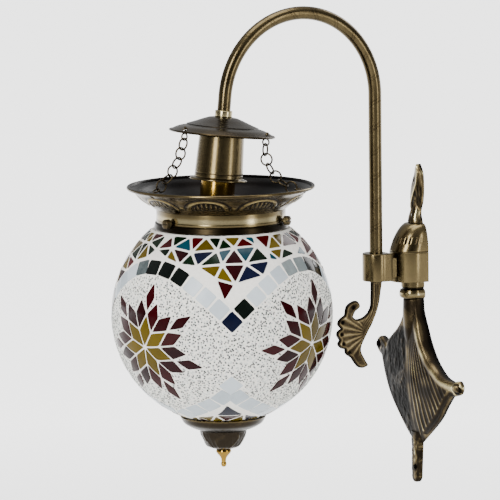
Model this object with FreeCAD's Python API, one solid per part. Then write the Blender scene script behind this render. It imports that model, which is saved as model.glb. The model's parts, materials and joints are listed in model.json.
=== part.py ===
import FreeCAD, Part
import math
import os
from FreeCAD import Placement, Rotation, Vector

# A wall lamp in millimetres: a cast bracket, a gooseneck arm and a hanging mosaic globe.
# The wall is the plane y = 0, the lamp stands out along -Y, and +Z is up.
# The origin is midway between the two wall screws, on the bracket's back face.

# ---- fits shared by several pieces ----
turn_clear = 0.05        # radial clearance of the arm's tube in its collar
slide_clear = 0.05       # radial clearance of a screw in its plain hole
free_gap = 0.35          # air between pieces that move past each other

# ---- wall bracket ----
screw_spacing = 221.6    # between the two wall screws
screw_r = 2.1
screw_margin = 12.2      # from each wall screw to the end of the bracket beyond it
leaf_thick = 4.6
plate_bulge = 10.5       # depth of the fan plate at its middle
bulge_r = 255.0          # radius of the fan plate's crowned front
plate_top = 20.0
plate_drawn = 143.0      # height that the plate's outline is drawn at; it is stretched to suit the screws
tail_width = 12.0
tail_thick = 4.0
tail_x = -1.5
neck_r = 8.3
neck_base = 4.0
bead_r = 10.2
bead_base = 5.2
bead_height = 13.3
boss_r = 15.3
boss_base = 7.9
boss_height = 22.3
boss_wall = 2.6
boss_floor = 3.0
dome_height = 21.9
dome_top_r = 8.3
dome_wall = 3.9
screw_shank_r = 1.9
screw_head_r = 3.4
screw_head_height = 2.4

# ---- collar that carries the arm ----
arm_out = 37.5           # from the wall to the tube's axis
tube_r = 5.0
tube_bore_r = tube_r - 1.0
collar_r = tube_r + 5.5
collar_back = 8.8        # straight stretch behind the tube's axis
collar_rise = 2.2        # from the boss's underside to the collar's
collar_height = 21.2
collar_floor = 2.2
shoulder_height = 11.5   # from the collar's underside to the ledge that the tube stands on
chamber_r = tube_r - 0.8
bridge_width = 10.0
bridge_height = 16.0
lead_r = 1.6
lead_hole_r = 2.1
lead_bend = 4.4
scroll_thick = 4.0       # of the ornament under the collar
set_screw_r = 1.5
set_screw_drop = 7.0     # from the collar's top to the set screw's axis

# ---- gooseneck ----
spring_line = 177.5      # height at which the bend starts
bend_r = 65.5
sweep = 174.0            # how far the tube turns over; what is short of 180 tilts the lamp holder

# ---- canopy and lamp holder, measured down the tube's end from the bend ----
ring_top = 10.9
ring_height = 5.0
ring_r = tube_r + 1.5
dish_rim_r = 70.5
canopy_flat_r = tube_r + 4.4
canopy_r = dish_rim_r - 31.5
canopy_drop = 11.6
canopy_wall = 1.0
nut_height = 4.0
nut_flat = tube_r + 3.0
shell_r = 13.0
cover_top_r = shell_r + 3.5
cover_bottom_r = shell_r + 5.2
cover_flange_r = shell_r + 8.5
cover_length = 42.4
cover_wall = 0.9
shell_wall = 0.8
shell_length = 65.0
shell_cap = 2.0
shell_top_gap = 1.5      # from the lower nut to the lamp holder
insulator_cap = 4.0       # ceramic above the bulb's well
contact_r = 7.3
contact_wall = 0.4
contact_length = 24.0

# ---- gallery, ring and globe: these hang plumb ----
seat_drop = 43.5         # from the end of the bend to the centre of the rocking seat
gallery_drop = 40.585    # from the seat's centre down to the gallery's floor
seat_hole_r = shell_r + 4.8    # the gallery's middle hole, whose edge rests in the shade ring's bowl
seat_outer_r = seat_hole_r + 9.2
shade_ring_r = shell_r + 9.3
shade_ring_depth = 8.0
fitter_r = 48.4
fitter_foot_r = fitter_r + 2.0
fitter_height = 14.5
fitter_step = 9.9        # from the gallery's floor to the step above the ring's foot
fitter_wall = 1.2
dish_height = 16.7
dish_floor_r = fitter_r + 0.3
dish_wall = 1.0
dish_lip_r = 1.3
globe_r = 83.25          # over the mosaic
mosaic_thick = 2.8
glass_wall = 2.4
shoulder_r = fitter_r - 0.86   # of the glass, level with the ring's foot
neck_outer_r = fitter_r - 2.8
neck_lip_r = fitter_r - 1.8
neck_drop = 4.0          # from the gallery's floor to the neck's top
globe_hole_r = 5.0

# ---- thumbscrews ----
screw_count = 3
first_angle = -80.0      # of the first thumbscrew and the first chain, about the globe's axis
thumb_drop = 7.7         # from the gallery's floor to the thumbscrews' axes
thumb_shank_r = 1.5
thumb_head_r = 3.5
thumb_head_length = 5.0

# ---- chains ----
chain_slack = 1.03       # least length of a chain over the longest distance between its holes
link_r = 4.4             # of the wire's centre line
link_wire_r = 0.65
link_slack = 0.08
hook_eye_r = 2.5
hook_wire_r = 0.6
hook_reach = 5.0         # from a hook's hole to the middle of its eye
hook_stub = 1.8          # what of a hook passes on through its hole
canopy_hole_r = canopy_r - 3.0   # circle of the chain holes in the canopy
dish_hole_r = dish_rim_r - 4.2   # circle of the chain holes in the gallery
chain_hole_r = 2.0

# ---- bottom cap and finial ----
cap_rim_r = 32.3
cap_rim_drop = 0.97      # from the mosaic down to the cap's rim
cap_wall = 1.3
cap_depth = 11.0         # from the rim to the top of the cup
cup_r = 17.6
cup_depth = 13.8
finial_length = 13.9
mosaic_end_r = cap_rim_r - 3.3   # where the mosaic stops under the cap
stud_r = 1.5

# ---- bulb: a 45 mm golf ball with a small screw cap ----
bulb_r = 22.5
bulb_cap_r = 6.9
bulb_thread_depth = 0.5
bulb_cap_length = 25.0
bulb_glass_wall = 0.8
bulb_length = 76.0

# ---- places worked out from the sizes above ----
nod = 180.0 - sweep
bend_centre = Vector(0, -arm_out - bend_r, spring_line)
turned_over = math.radians(sweep)
bend_end = bend_centre + Vector(0, bend_r * math.cos(turned_over), bend_r * math.sin(turned_over))
head = Placement(bend_end, Rotation(Vector(1, 0, 0), -nod))
seat_centre = head.multVec(Vector(0, 0, -seat_drop))
lamp_y = seat_centre.y
dish_floor_z = seat_centre.z - gallery_drop
dish_rim_z = dish_floor_z + dish_height
seat_hole_z = dish_floor_z + 0.1
seat_r = math.hypot(seat_hole_r, seat_centre.z - seat_hole_z)
fitter_step_z = dish_floor_z - fitter_step
fitter_bottom_z = dish_floor_z - fitter_height
thumb_z = dish_floor_z - thumb_drop
neck_top_z = dish_floor_z - neck_drop
glass_r = globe_r - mosaic_thick
globe_z = fitter_bottom_z - math.sqrt(glass_r**2 - shoulder_r**2)
cap_rim_z = globe_z - math.sqrt(globe_r**2 - cap_rim_r**2) - cap_rim_drop
cup_top_z = cap_rim_z - cap_depth
cup_bottom_z = cup_top_z - cup_depth
finial_bottom_z = cup_bottom_z - finial_length
bead_top = plate_top + bead_height
boss_bottom = bead_top
collar_bottom = boss_bottom + collar_rise
collar_top = collar_bottom + collar_height
ledge_z = collar_bottom + shoulder_height
boss_top = boss_bottom + boss_height
dome_top = boss_top + dome_height
leaf_top = screw_spacing / 2 + screw_margin
tail_bottom = -screw_spacing / 2 - screw_margin
collar_rear = -arm_out + collar_back
lead_z = collar_bottom + collar_floor + lead_r + 0.3
lead_meet_z = lead_z + lead_bend
canopy_top = ring_top + ring_height
nut_top = canopy_top + canopy_wall
cover_top = nut_top + nut_height
lower_nut_top = cover_top + cover_wall
shell_top = lower_nut_top + nut_height + shell_top_gap
shell_end = shell_top + shell_length
insulator_low = shell_end - 1.0
bulb_cap_top = insulator_low - bulb_cap_length
ring_top_edge = seat_drop + math.sqrt(seat_r**2 - shade_ring_r**2)
tube_tail = shell_top + shell_cap
link_pitch = 2 * (link_r - link_wire_r) - link_slack
eye_pitch = link_r + hook_eye_r - link_wire_r - hook_wire_r - link_slack
angles = [first_angle + 360.0 / screw_count * i for i in range(screw_count)]


def save(name, shape):
    """Writes one node's STEP after checking that every solid in it is sound."""
    for solid in shape.Solids:
        if not solid.isValid() or solid.Volume <= 0:
            raise ValueError(name + " holds an unsound solid")
    shape.exportStep("parts/" + name + ".step")


def rod(radius, low, high, x=0.0, y=0.0):
    """An upright cylinder."""
    return Part.makeCylinder(radius, high - low, Vector(x, y, low))


def pipe(outer, inner, low, high, x=0.0, y=0.0):
    """An upright tube."""
    return rod(outer, low, high, x, y).cut(rod(inner, low - 1, high + 1, x, y))


def block(x0, x1, y0, y1, z0, z1):
    """A box given by its low and high sides."""
    return Part.makeBox(x1 - x0, y1 - y0, z1 - z0, Vector(x0, y0, z0))


def straight(points):
    """Straight edges through the points."""
    return [Part.LineSegment(a, b).toShape() for a, b in zip(points, points[1:])]


def smooth(points):
    """One smooth edge through the points."""
    curve = Part.BSplineCurve()
    curve.interpolate(points)
    return [curve.toShape()]


def face_of(edges):
    """The flat face inside a closed run of edges."""
    return Part.Face(Part.Wire(edges))


def turned(points, y=0.0):
    """A solid of revolution about the upright axis at y, from (radius, height) points."""
    at = [Vector(r, y, z) for r, z in points]
    return face_of(straight(at + at[:1])).revolve(Vector(0, y, 0), Vector(0, 0, 1), 360)


def turned_curve(pieces, y=0.0):
    """As turned, but each piece is ("line" or "curve", points) and the last point closes on the first."""
    edges = []
    for kind, points in pieces:
        at = [Vector(r, y, z) for r, z in points]
        edges += smooth(at) if kind == "curve" else straight(at)
    return face_of(edges).revolve(Vector(0, y, 0), Vector(0, 0, 1), 360)


def half_turned(points, base):
    """Half of a turned solid standing off the wall by base, with straight sides back to the wall."""
    at = [Vector(r, -base, z) for r, z in points]
    front = face_of(straight(at + at[:1])).revolve(Vector(0, -base, 0), Vector(0, 0, 1), -180)
    mirrored = [Vector(-r, -base, z) for r, z in reversed(points) if r > 0]
    outline = [p for p in at if p.x > 0] + mirrored
    sides = face_of(straight(outline + outline[:1])).extrude(Vector(0, base, 0))
    return front.fuse(sides).removeSplitter()


def d_wire(radius, base, z):
    """A half-round section: a semicircle standing off the wall by base."""
    left, right = Vector(-radius, -base, z), Vector(radius, -base, z)
    tip = Vector(0, -base - radius, z)
    back_left, back_right = Vector(-radius, 0, z), Vector(radius, 0, z)
    arc = Part.Arc(left, tip, right).toShape()
    return Part.Wire([arc] + straight([right, back_right, back_left, left]))


def d_loft(sections):
    """A solid through half-round sections given as (radius, base, height)."""
    return Part.makeLoft([d_wire(*s) for s in sections], True)


def in_head(shape):
    """Moves a piece drawn with +Z up the tilted tube end, and zero at the bend's end, to its place."""
    placed = shape.copy()
    placed.Placement = head.multiply(placed.Placement)
    return placed


def about_lamp(shape, angle):
    """A copy turned about the globe's axis by angle degrees."""
    return shape.copy().rotate(Vector(0, lamp_y, 0), Vector(0, 0, 1), angle)


def group(solids):
    """Several separate solids that share one node."""
    return Part.makeCompound(solids)


# ---------------------------------------------------------------- wall bracket
def fan_plate():
    """Leaf-shaped plate with a hook at each side, a crowned front, a neck above and a tail below."""
    stretch = (plate_top - tail_bottom) / plate_drawn

    def below(points):
        """Wall-side points from (x, depth below the plate's top)."""
        return [Vector(x, 0, plate_top - depth * stretch) for x, depth in points]

    near = below([(neck_r, 0), (9.5, 10), (15, 22), (21, 34), (30, 46), (43, 56), (55, 59.3)])
    near_hook = below([(55, 59.3), (62, 57.4), (65.6, 61.5), (63, 67.2), (52, 70.5)])
    near_low = below([(52, 70.5), (45, 78), (36, 88.5), (26, 97), (tail_x + tail_width / 2, 113)])
    far_low = below([(tail_x - tail_width / 2, 113), (-13.5, 106), (-22.5, 94), (-34, 78.5), (-41, 64),
                     (-46, 50)])
    far_hook = below([(-46, 50), (-54.5, 46.5), (-56.5, 40.5), (-50, 35.4), (-42, 38), (-36, 41)])
    far = below([(-36, 41), (-34, 36.5), (-25.5, 30.5), (-16, 23.5), (-10, 14), (-neck_r, 0)])
    edges = smooth(near) + smooth(near_hook) + smooth(near_low)
    edges += straight([near_low[-1], far_low[0]])
    edges += smooth(far_low) + smooth(far_hook) + smooth(far)
    edges += straight([far[-1], near[0]])
    slab = face_of(edges).extrude(Vector(0, -plate_bulge, 0))
    crown_z = plate_top - 42 * stretch
    crown_r = bulge_r * stretch**2
    crown = Part.makeSphere(crown_r, Vector(3, crown_r - plate_bulge, crown_z))
    plate = slab.common(crown)
    neck = d_loft([(neck_r, neck_base, plate_top), (neck_r + 0.4, neck_base, plate_top - 12 * stretch),
                   (neck_r + 0.8, 2.5, plate_top - 26 * stretch), (neck_r, 0.8, crown_z)])
    tail = block(tail_x - tail_width / 2, tail_x + tail_width / 2, -tail_thick, 0,
                 tail_bottom + tail_width / 2, plate_top - 111 * stretch)
    end = Part.makeCylinder(tail_width / 2, tail_thick, Vector(tail_x, 0, tail_bottom + tail_width / 2),
                            Vector(0, -1, 0))
    whole = plate.fuse([neck, tail, end])
    hole = Part.makeCylinder(screw_r, 30, Vector(0, 1, -screw_spacing / 2), Vector(0, -1, 0))
    joint_screw = rod(screw_shank_r, plate_top - 12, plate_top + 1, 0, -bead_base)
    return whole.cut(hole).cut(joint_screw)


def neck_bead():
    """Grooved ring between the plate's neck and the boss."""
    profile = [(0, plate_top), (8.8, plate_top), (9.8, plate_top + 1.2), (bead_r, plate_top + 3.2),
               (bead_r, plate_top + 5.2), (9.6, plate_top + 7.4), (8.7, plate_top + 8.2), (8.7, bead_top),
               (0, bead_top)]
    ring = half_turned(profile, bead_base)
    return ring.cut(rod(screw_shank_r + slide_clear, plate_top - 1, bead_top + 1, 0, -bead_base))


def boss():
    """Half-round hollow boss cast in one with the collar that holds the arm."""
    body = d_loft([(boss_r, boss_base, boss_bottom), (boss_r, boss_base, boss_top)])
    hollow_r = boss_r - boss_wall
    floor_top = boss_bottom + boss_floor
    hollow = d_loft([(hollow_r, boss_base, floor_top), (hollow_r, boss_base, boss_top + 1)])
    body = body.cut(hollow)
    body = body.cut(rod(screw_shank_r + slide_clear, boss_bottom - 1, floor_top + 1, 0, -bead_base))
    barrel = rod(collar_r, collar_bottom, collar_top, 0, -arm_out)
    cheeks = block(-collar_r, collar_r, -arm_out, collar_rear, collar_bottom, collar_top)
    collar = barrel.fuse(cheeks).removeSplitter()
    bridge_low = collar_bottom + (collar_height - bridge_height) / 2
    bridge = block(-bridge_width / 2, bridge_width / 2, collar_rear - 1, -boss_base - boss_r + 0.8,
                   bridge_low - 1.5, bridge_low + bridge_height - 1.5)
    casting = body.fuse([collar, bridge])
    casting = casting.cut(rod(tube_r + turn_clear, ledge_z, collar_top + 1, 0, -arm_out))
    casting = casting.cut(rod(chamber_r, collar_bottom + collar_floor, ledge_z + 1, 0, -arm_out))
    channel = Part.makeCylinder(lead_hole_r, arm_out - 12, Vector(0, -arm_out, lead_z), Vector(0, 1, 0))
    tapped = Part.makeCylinder(set_screw_r, collar_r + 2, Vector(0, -arm_out, collar_top - set_screw_drop),
                               Vector(-1, 0, 0))
    return casting.cut(channel).cut(tapped).removeSplitter()


def dome_section(share, inset=0.0):
    """The dome's half-round section at a share of its height, drawn in by inset."""
    radius = dome_top_r + (boss_r - dome_top_r) * math.sqrt(1 - share**2)
    base = boss_base * (1 - share) ** 0.8 + 0.2
    return radius - inset, base


def dome():
    """Domed cap over the boss that leans back to the wall, hollow underneath, with a spigot in the boss."""
    steps = [0.0, 0.25, 0.5, 0.72, 0.88, 1.0]
    outer = []
    inner = []
    for share in steps:
        radius, base = dome_section(share)
        outer.append((radius, base, boss_top + dome_height * share))
        if share < 0.8:
            inner.append((radius - dome_wall, base, boss_top + dome_height * share))
    lid = d_loft(outer)
    inner[0] = (inner[0][0], inner[0][1], boss_top - 0.01)
    lid = lid.cut(d_loft(inner))
    spigot_r = boss_r - boss_wall - slide_clear
    spigot = d_loft([(spigot_r, boss_base, boss_top - 2), (spigot_r, boss_base, boss_top)])
    bore_r = spigot_r - 1.2
    spigot = spigot.cut(d_loft([(bore_r, boss_base, boss_top - 3), (bore_r, boss_base, boss_top + 1)]))
    screw = rod(screw_shank_r + slide_clear, boss_top, dome_top + 1, 0, -dome_top_r / 2)
    return lid.fuse(spigot).cut(screw).removeSplitter()


def top_leaf():
    """Pointed leaf with a folded rib, standing on the dome and hiding the upper wall screw."""
    height = leaf_top - dome_top

    def above(points):
        """Wall-side points from (x, share of the leaf's height)."""
        return [Vector(x, 0, dome_top + height * share) for x, share in points]

    right = above([(7.6, 0), (5.4, 0.187), (8.6, 0.385), (9.6, 0.604), (8.6, 0.846), (4.5, 1)])
    left = above([(4.5, 1), (-2.2, 0.846), (-7.4, 0.604), (-8.8, 0.407), (-5.4, 0.187), (-7.6, 0)])
    blade = face_of(smooth(right) + smooth(left) + straight([left[-1], right[0]]))
    blade = blade.extrude(Vector(0, -leaf_thick, 0))
    root = d_loft([(7.6, 0.2, dome_top), (5.8, 0.6, dome_top + 7), (4.6, 0.4, dome_top + 13),
                   (3.4, 0.2, dome_top + 19)])
    leaf = blade.fuse(root)
    leaf = leaf.cut(Part.makeCylinder(screw_r, 30, Vector(0, 1, screw_spacing / 2), Vector(0, -1, 0)))
    leaf = leaf.cut(rod(screw_shank_r, dome_top - 1, dome_top + 8, 0, -dome_top_r / 2))
    return leaf.removeSplitter()


def casting_screws():
    """Two hidden screws: one down through the boss floor into the plate, one up into the leaf."""
    low_head = boss_bottom + boss_floor
    down = rod(screw_shank_r, plate_top - 11, low_head, 0, -bead_base)
    down = down.fuse(rod(screw_head_r, low_head, low_head + screw_head_height, 0, -bead_base))
    inner_top = boss_top + dome_height * 0.72
    up = rod(screw_shank_r, inner_top, dome_top + 7, 0, -dome_top_r / 2)
    up = up.fuse(rod(screw_head_r - 0.8, inner_top - screw_head_height, inner_top, 0, -dome_top_r / 2))
    return group([down.removeSplitter(), up.removeSplitter()])


def scroll():
    """Flat scrolled ornament under the collar: a stem, a curl, four scallops and a pointed foot.

    Its points are (y, z) from the arm's axis at the collar's underside."""
    half = scroll_thick / 2
    stem_front = [(-4.9, 0), (-5.1, -11.5), (-5.7, -19.5), (-8.5, -24.3), (-13, -27.3), (-18.5, -28.1),
                  (-21.3, -26.1)]
    curl = [(-21.3, -26.1), (-19.5, -22.5), (-15.4, -19.5), (-15.1, -17), (-17.9, -14.1),
            (-22.2, -14.5), (-26.9, -17.7), (-28.7, -24.3)]
    lobes = [[(-28.7, -24.3), (-33.1, -27.1), (-34.9, -30.9), (-32.1, -34.5)],
             [(-32.1, -34.5), (-35.1, -36.3), (-35.7, -39.5), (-33.3, -43.1)],
             [(-33.3, -43.1), (-34.9, -46.3), (-32.3, -49.3), (-28.8, -50.3)],
             [(-28.8, -50.3), (-27.9, -54.1), (-23.5, -57.2)]]
    foot = [(-23.5, -57.2), (-19.9, -62.2), (-16.7, -65.2), (-12.1, -65.9), (-7.9, -64.2)]
    back = [(-7.9, -64.2), (-11.3, -58.8), (-14.3, -52.4), (-12.3, -45.7), (-4.8, -33.3),
            (-0.5, -24.7), (2.3, -15.5), (4.9, 0)]
    edges = []
    for run in [stem_front, curl] + lobes + [foot, back]:
        edges += smooth([Vector(-half, y - arm_out, z + collar_bottom) for y, z in run])
    edges += straight([edges[-1].lastVertex().Point, edges[0].firstVertex().Point])
    return face_of(edges).extrude(Vector(scroll_thick, 0, 0))


def set_screw():
    """Headless screw in the collar's side that steadies the tube without gripping it."""
    reach = collar_r - tube_r - 2 * turn_clear
    tip = Vector(-tube_r - turn_clear - 0.02, -arm_out, collar_top - set_screw_drop)
    return Part.makeCylinder(set_screw_r, reach, tip, Vector(-1, 0, 0))


def terminal_block():
    """Two-way connector block inside the boss."""
    low = boss_bottom + boss_floor + screw_head_height + 1.2
    body = block(-9, 9, -14.5, -2, low, low + 10)
    for x in (-4.5, 4.5):
        body = body.cut(rod(1.7, low - 1, low + 11, x, -11))
        body = body.cut(Part.makeCylinder(2.0, 4, Vector(x, -1, low + 5), Vector(0, -1, 0)))
    return body


def terminal_screws():
    """The connector block's two clamping screws."""
    low = boss_bottom + boss_floor + screw_head_height + 1.2
    back = Vector(0, -1, 0)
    return group([Part.makeCylinder(1.9, 2.4, Vector(x, -2.4, low + 5), back) for x in (-4.5, 4.5)])


def boss_lead():
    """Lead from the connector block through the bridge, turning up on the arm's axis."""
    start = Vector(0, -boss_base - boss_r + boss_wall + 2.0, lead_z)
    turn = Vector(0, -arm_out + lead_bend, lead_z)
    end = Vector(0, -arm_out, lead_meet_z)
    middle = Vector(0, -arm_out + lead_bend * (1 - math.sin(math.radians(45))),
                    lead_z + lead_bend * (1 - math.cos(math.radians(45))))
    path = Part.Wire([Part.LineSegment(start, turn).toShape(), Part.Arc(turn, middle, end).toShape()])
    disc = Part.Face(Part.Wire(Part.makeCircle(lead_r, start, Vector(0, -1, 0))))
    return path.makePipe(disc)


# ---------------------------------------------------------------- gooseneck arm
def bent_rod(radius, low, tail):
    """A solid rod that runs up from low, over the bend, and on past it by tail."""
    rise = rod(radius, low, spring_line, 0, -arm_out)
    disc = Part.Face(Part.Wire(Part.makeCircle(radius, Vector(0, -arm_out, spring_line), Vector(0, 0, 1))))
    over = disc.revolve(bend_centre, Vector(1, 0, 0), sweep)
    end = in_head(rod(radius, -tail, 0))
    return rise.fuse([over, end]).removeSplitter()


def arm_tube():
    """The gooseneck: one tube bent over, open at both ends."""
    bore = bent_rod(tube_bore_r, ledge_z - 1, tube_tail + 1)
    return bent_rod(tube_r, ledge_z, tube_tail).cut(bore).removeSplitter()


def arm_lead():
    """Lead inside the gooseneck, from the arm's axis in the collar to the lamp holder."""
    return bent_rod(lead_r, lead_meet_z, bulb_cap_top - insulator_cap)


def end_ring():
    """Turned ring nut on the tube above the canopy."""
    edge = 0.8
    low, high = -ring_top - ring_height, -ring_top
    ring = turned([(tube_r, low), (ring_r - edge, low), (ring_r, low + edge), (ring_r, high - edge),
                   (ring_r - edge, high), (tube_r, high)])
    return in_head(ring)


def canopy_surface(radius, lift=0.0):
    """Height of the canopy's top face at a radius, in the head's own frame."""
    steps = [(0, 0), (canopy_flat_r, 0), (canopy_r - 19, 3.8), (canopy_r - 12.5, 6.2), (canopy_r - 11.5, 7.0),
             (canopy_r - 6, 8.6), (canopy_r, canopy_drop)]
    for (r0, d0), (r1, d1) in zip(steps, steps[1:]):
        if radius <= r1:
            return -canopy_top - d0 - (d1 - d0) * (radius - r0) / (r1 - r0) + lift
    return -canopy_top - canopy_drop + lift


def canopy():
    """Spun canopy with a stepped brim, a lip at its edge and three chain holes."""
    radii = [tube_r + slide_clear, canopy_flat_r] + [canopy_r - inward for inward in (19, 12.5, 11.5, 6, 0)]
    top = [(r, canopy_surface(r)) for r in radii]
    under = [(r, canopy_surface(r, -canopy_wall)) for r in reversed(radii)]
    cone = turned(top + under)
    lip = Part.makeTorus(canopy_r, 0.9, Vector(0, 0, canopy_surface(canopy_r) - 0.5))
    whole = cone.fuse(lip)
    for angle in angles:
        a = math.radians(angle)
        whole = whole.cut(rod(chain_hole_r, -60, 0, canopy_hole_r * math.cos(a), canopy_hole_r * math.sin(a)))
    return in_head(whole.removeSplitter())


def hex_nut(top):
    """Thin hexagonal nut on the tube."""
    corner = nut_flat / math.cos(math.radians(30))
    turns = [math.radians(60 * i) for i in range(6)]
    ring = [Vector(corner * math.cos(a), corner * math.sin(a), -top - nut_height) for a in turns]
    nut = face_of(straight(ring + ring[:1])).extrude(Vector(0, 0, nut_height))
    return in_head(nut.cut(rod(tube_r, -top - nut_height - 1, -top + 1)))


def holder_cover():
    """Tapered sheet cover over the lamp holder, with a foot flange."""
    top, foot = -cover_top, -cover_top - cover_length
    profile = [(tube_r + slide_clear, top), (cover_top_r, top), (cover_bottom_r, foot + 2.2),
               (cover_flange_r, foot + 1.4), (cover_flange_r, foot), (cover_bottom_r - cover_wall, foot),
               (cover_top_r - cover_wall, top - cover_wall), (tube_r + slide_clear, top - cover_wall)]
    return in_head(turned(profile))


def holder_shell():
    """Brass outer shell of the lamp holder, open at the bottom."""
    top, low = -shell_top, -shell_end
    inner = shell_r - shell_wall
    profile = [(tube_r, top), (shell_r - 1, top), (shell_r, top - 1), (shell_r, low), (inner, low),
               (inner, top - shell_cap), (tube_r, top - shell_cap)]
    return in_head(turned(profile))


def holder_insulator():
    """Ceramic body that fills the shell and leaves a well for the bulb's cap."""
    inner = shell_r - shell_wall
    top = -bulb_cap_top + insulator_cap
    well = contact_r + contact_wall
    profile = [(0, top), (inner, top), (inner, -insulator_low), (well + 1.2, -insulator_low),
               (well, -insulator_low + 1.2), (well, -bulb_cap_top + 1.6), (0, -bulb_cap_top + 1.6)]
    return in_head(turned(profile))


def holder_contacts():
    """Threaded side contact and the centre contact of the lamp holder."""
    top = -bulb_cap_top + 1.6
    liner = pipe(contact_r + contact_wall, contact_r, top - contact_length, top)
    centre = rod(2.4, top - 1.2, top)
    return in_head(group([liner, centre]))


def shade_ring():
    """Threaded ring on the lamp holder whose hollow seat lets the gallery hang plumb."""
    low = -ring_top_edge - shade_ring_depth
    inner = shell_r + slide_clear
    body = pipe(shade_ring_r, inner, low, -ring_top_edge)
    seat = Part.makeSphere(seat_r, Vector(0, 0, -seat_drop))
    return in_head(body.cut(seat))


# ---------------------------------------------------------------- hanging lamp
def seat_height(radius, sphere_r):
    """Height of the rocking seat's sphere at a radius from the globe's axis."""
    return seat_centre.z - math.sqrt(sphere_r**2 - radius**2)


def gallery_dish():
    """Spun dish with a rolled lip, whose middle is pressed into a spherical seat."""
    flare = [(0, 0), (0.2585, 0.2468), (0.5512, 0.5195), (0.7463, 0.7857), (1, 1)]
    width, height = dish_rim_r - dish_lip_r - dish_floor_r, dish_height - dish_lip_r
    under = [(dish_floor_r + width * a, dish_floor_z + height * b) for a, b in flare]
    above = [(r - 0.3, z + dish_wall * 1.25) for r, z in reversed(under)]
    edge = seat_outer_r + 1.5
    middle = (seat_hole_r + seat_outer_r) / 2
    seat_low = [(r, seat_height(r, seat_r) + 0.02) for r in (seat_outer_r, middle, seat_hole_r)]
    seat_high = [(r, seat_height(r, seat_r - dish_wall)) for r in (seat_hole_r, middle, seat_outer_r)]
    crest = seat_high[-1][1]
    profile = [("line", [seat_low[0], (edge, seat_low[0][1]), (edge + 6, dish_floor_z), under[0]]),
               ("curve", under), ("line", [under[-1], above[0]]), ("curve", above),
               ("line", [above[-1], (edge + 6.6, dish_floor_z + dish_wall), (edge + 0.6, crest),
                         seat_high[-1]]),
               ("curve", list(reversed(seat_high))), ("line", [seat_high[0], seat_low[-1]]),
               ("curve", list(reversed(seat_low)))]
    dish = turned_curve(profile, lamp_y)
    lip = Part.makeTorus(dish_rim_r - dish_lip_r, dish_lip_r, Vector(0, lamp_y, dish_rim_z - dish_lip_r / 2))
    dish = dish.fuse(lip).removeSplitter()
    for angle in angles:
        hole = rod(chain_hole_r, dish_floor_z, dish_rim_z + 5, dish_hole_r, lamp_y)
        dish = dish.cut(about_lamp(hole, angle))
    return dish


def fitter_ring():
    """Ring under the gallery that takes the globe's neck, with a flared foot and three tapped holes."""
    wall, shelf_r = fitter_wall, fitter_r - 10
    profile = [(shelf_r, dish_floor_z), (fitter_r, dish_floor_z), (fitter_r, fitter_step_z + 0.6),
               (fitter_r + 0.9, fitter_step_z), (fitter_foot_r, fitter_bottom_z),
               (fitter_foot_r - wall, fitter_bottom_z), (fitter_r - wall, fitter_step_z),
               (fitter_r - wall, dish_floor_z - wall), (shelf_r, dish_floor_z - wall)]
    ring = turned(profile, lamp_y)
    for angle in angles:
        start = Vector(fitter_r - 8, lamp_y, thumb_z)
        hole = Part.makeCylinder(thumb_shank_r + slide_clear, 20, start, Vector(1, 0, 0))
        ring = ring.cut(about_lamp(hole, angle))
    return ring


def fitter_rivets():
    """Three rivets that hold the ring to the gallery's floor."""
    rivets = []
    low, high = dish_floor_z - fitter_wall - 0.8, dish_floor_z + dish_wall + 0.8
    for angle in angles:
        shank = rod(1.2, low, high, fitter_r - 5, lamp_y)
        rivets.append(about_lamp(shank, angle + 60))
    return group(rivets)


def clear_rivets(shape):
    """Cuts the rivets' holes in a sheet."""
    for rivet in fitter_rivets().Solids:
        shape = shape.cut(rivet)
    return shape


def glass_globe():
    """Blown glass globe with a short lipped neck above and a small hole below."""
    centre = Vector(0, lamp_y, globe_z)
    outer = Part.makeSphere(glass_r, centre)
    shoulder_z = globe_z + math.sqrt(glass_r**2 - neck_outer_r**2) - 0.5
    near, far = lamp_y - globe_r, lamp_y + globe_r
    outer = outer.cut(block(-globe_r, globe_r, near, far, shoulder_z, globe_z + globe_r))
    outer = outer.fuse(rod(neck_outer_r, shoulder_z - 1, neck_top_z, 0, lamp_y))
    outer = outer.fuse(rod(neck_lip_r, neck_top_z - 1.6, neck_top_z, 0, lamp_y))
    inner = Part.makeSphere(glass_r - glass_wall, centre)
    inner = inner.common(block(-globe_r, globe_r, near, far, globe_z - globe_r, shoulder_z + 2))
    inner = inner.fuse(rod(neck_outer_r - glass_wall, shoulder_z - 6, neck_top_z + 1, 0, lamp_y))
    globe = outer.cut(inner)
    return globe.cut(rod(globe_hole_r, globe_z - globe_r, globe_z - globe_r + 12, 0, lamp_y)).removeSplitter()


def mosaic_skin():
    """The layer of tiles and grout over the glass, from the ring's foot to the bottom cap."""
    centre = Vector(0, lamp_y, globe_z)
    skin = Part.makeSphere(globe_r, centre).cut(Part.makeSphere(glass_r, centre))
    low = globe_z - math.sqrt(globe_r**2 - mosaic_end_r**2)
    high = fitter_bottom_z - free_gap
    return skin.common(block(-globe_r, globe_r, lamp_y - globe_r, lamp_y + globe_r, low, high))


def thumbscrew(angle):
    """Screw that bears on the globe's neck: a shank through the ring and a slotted round head."""
    tip = neck_outer_r + free_gap
    head_start = fitter_r + 1.6
    out = Vector(1, 0, 0)
    shank = Part.makeCylinder(thumb_shank_r, head_start - tip, Vector(tip, lamp_y, thumb_z), out)
    knob = Part.makeCylinder(thumb_head_r, thumb_head_length, Vector(head_start, lamp_y, thumb_z), out)
    knob = knob.makeChamfer(0.5, [e for e in knob.Edges if len(e.Vertexes) == 1])
    end = head_start + thumb_head_length
    slot = block(end - 1.2, end + 1, lamp_y - 5, lamp_y + 5, thumb_z - 0.5, thumb_z + 0.5)
    return about_lamp(shank.fuse(knob).cut(slot).removeSplitter(), angle)


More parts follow.
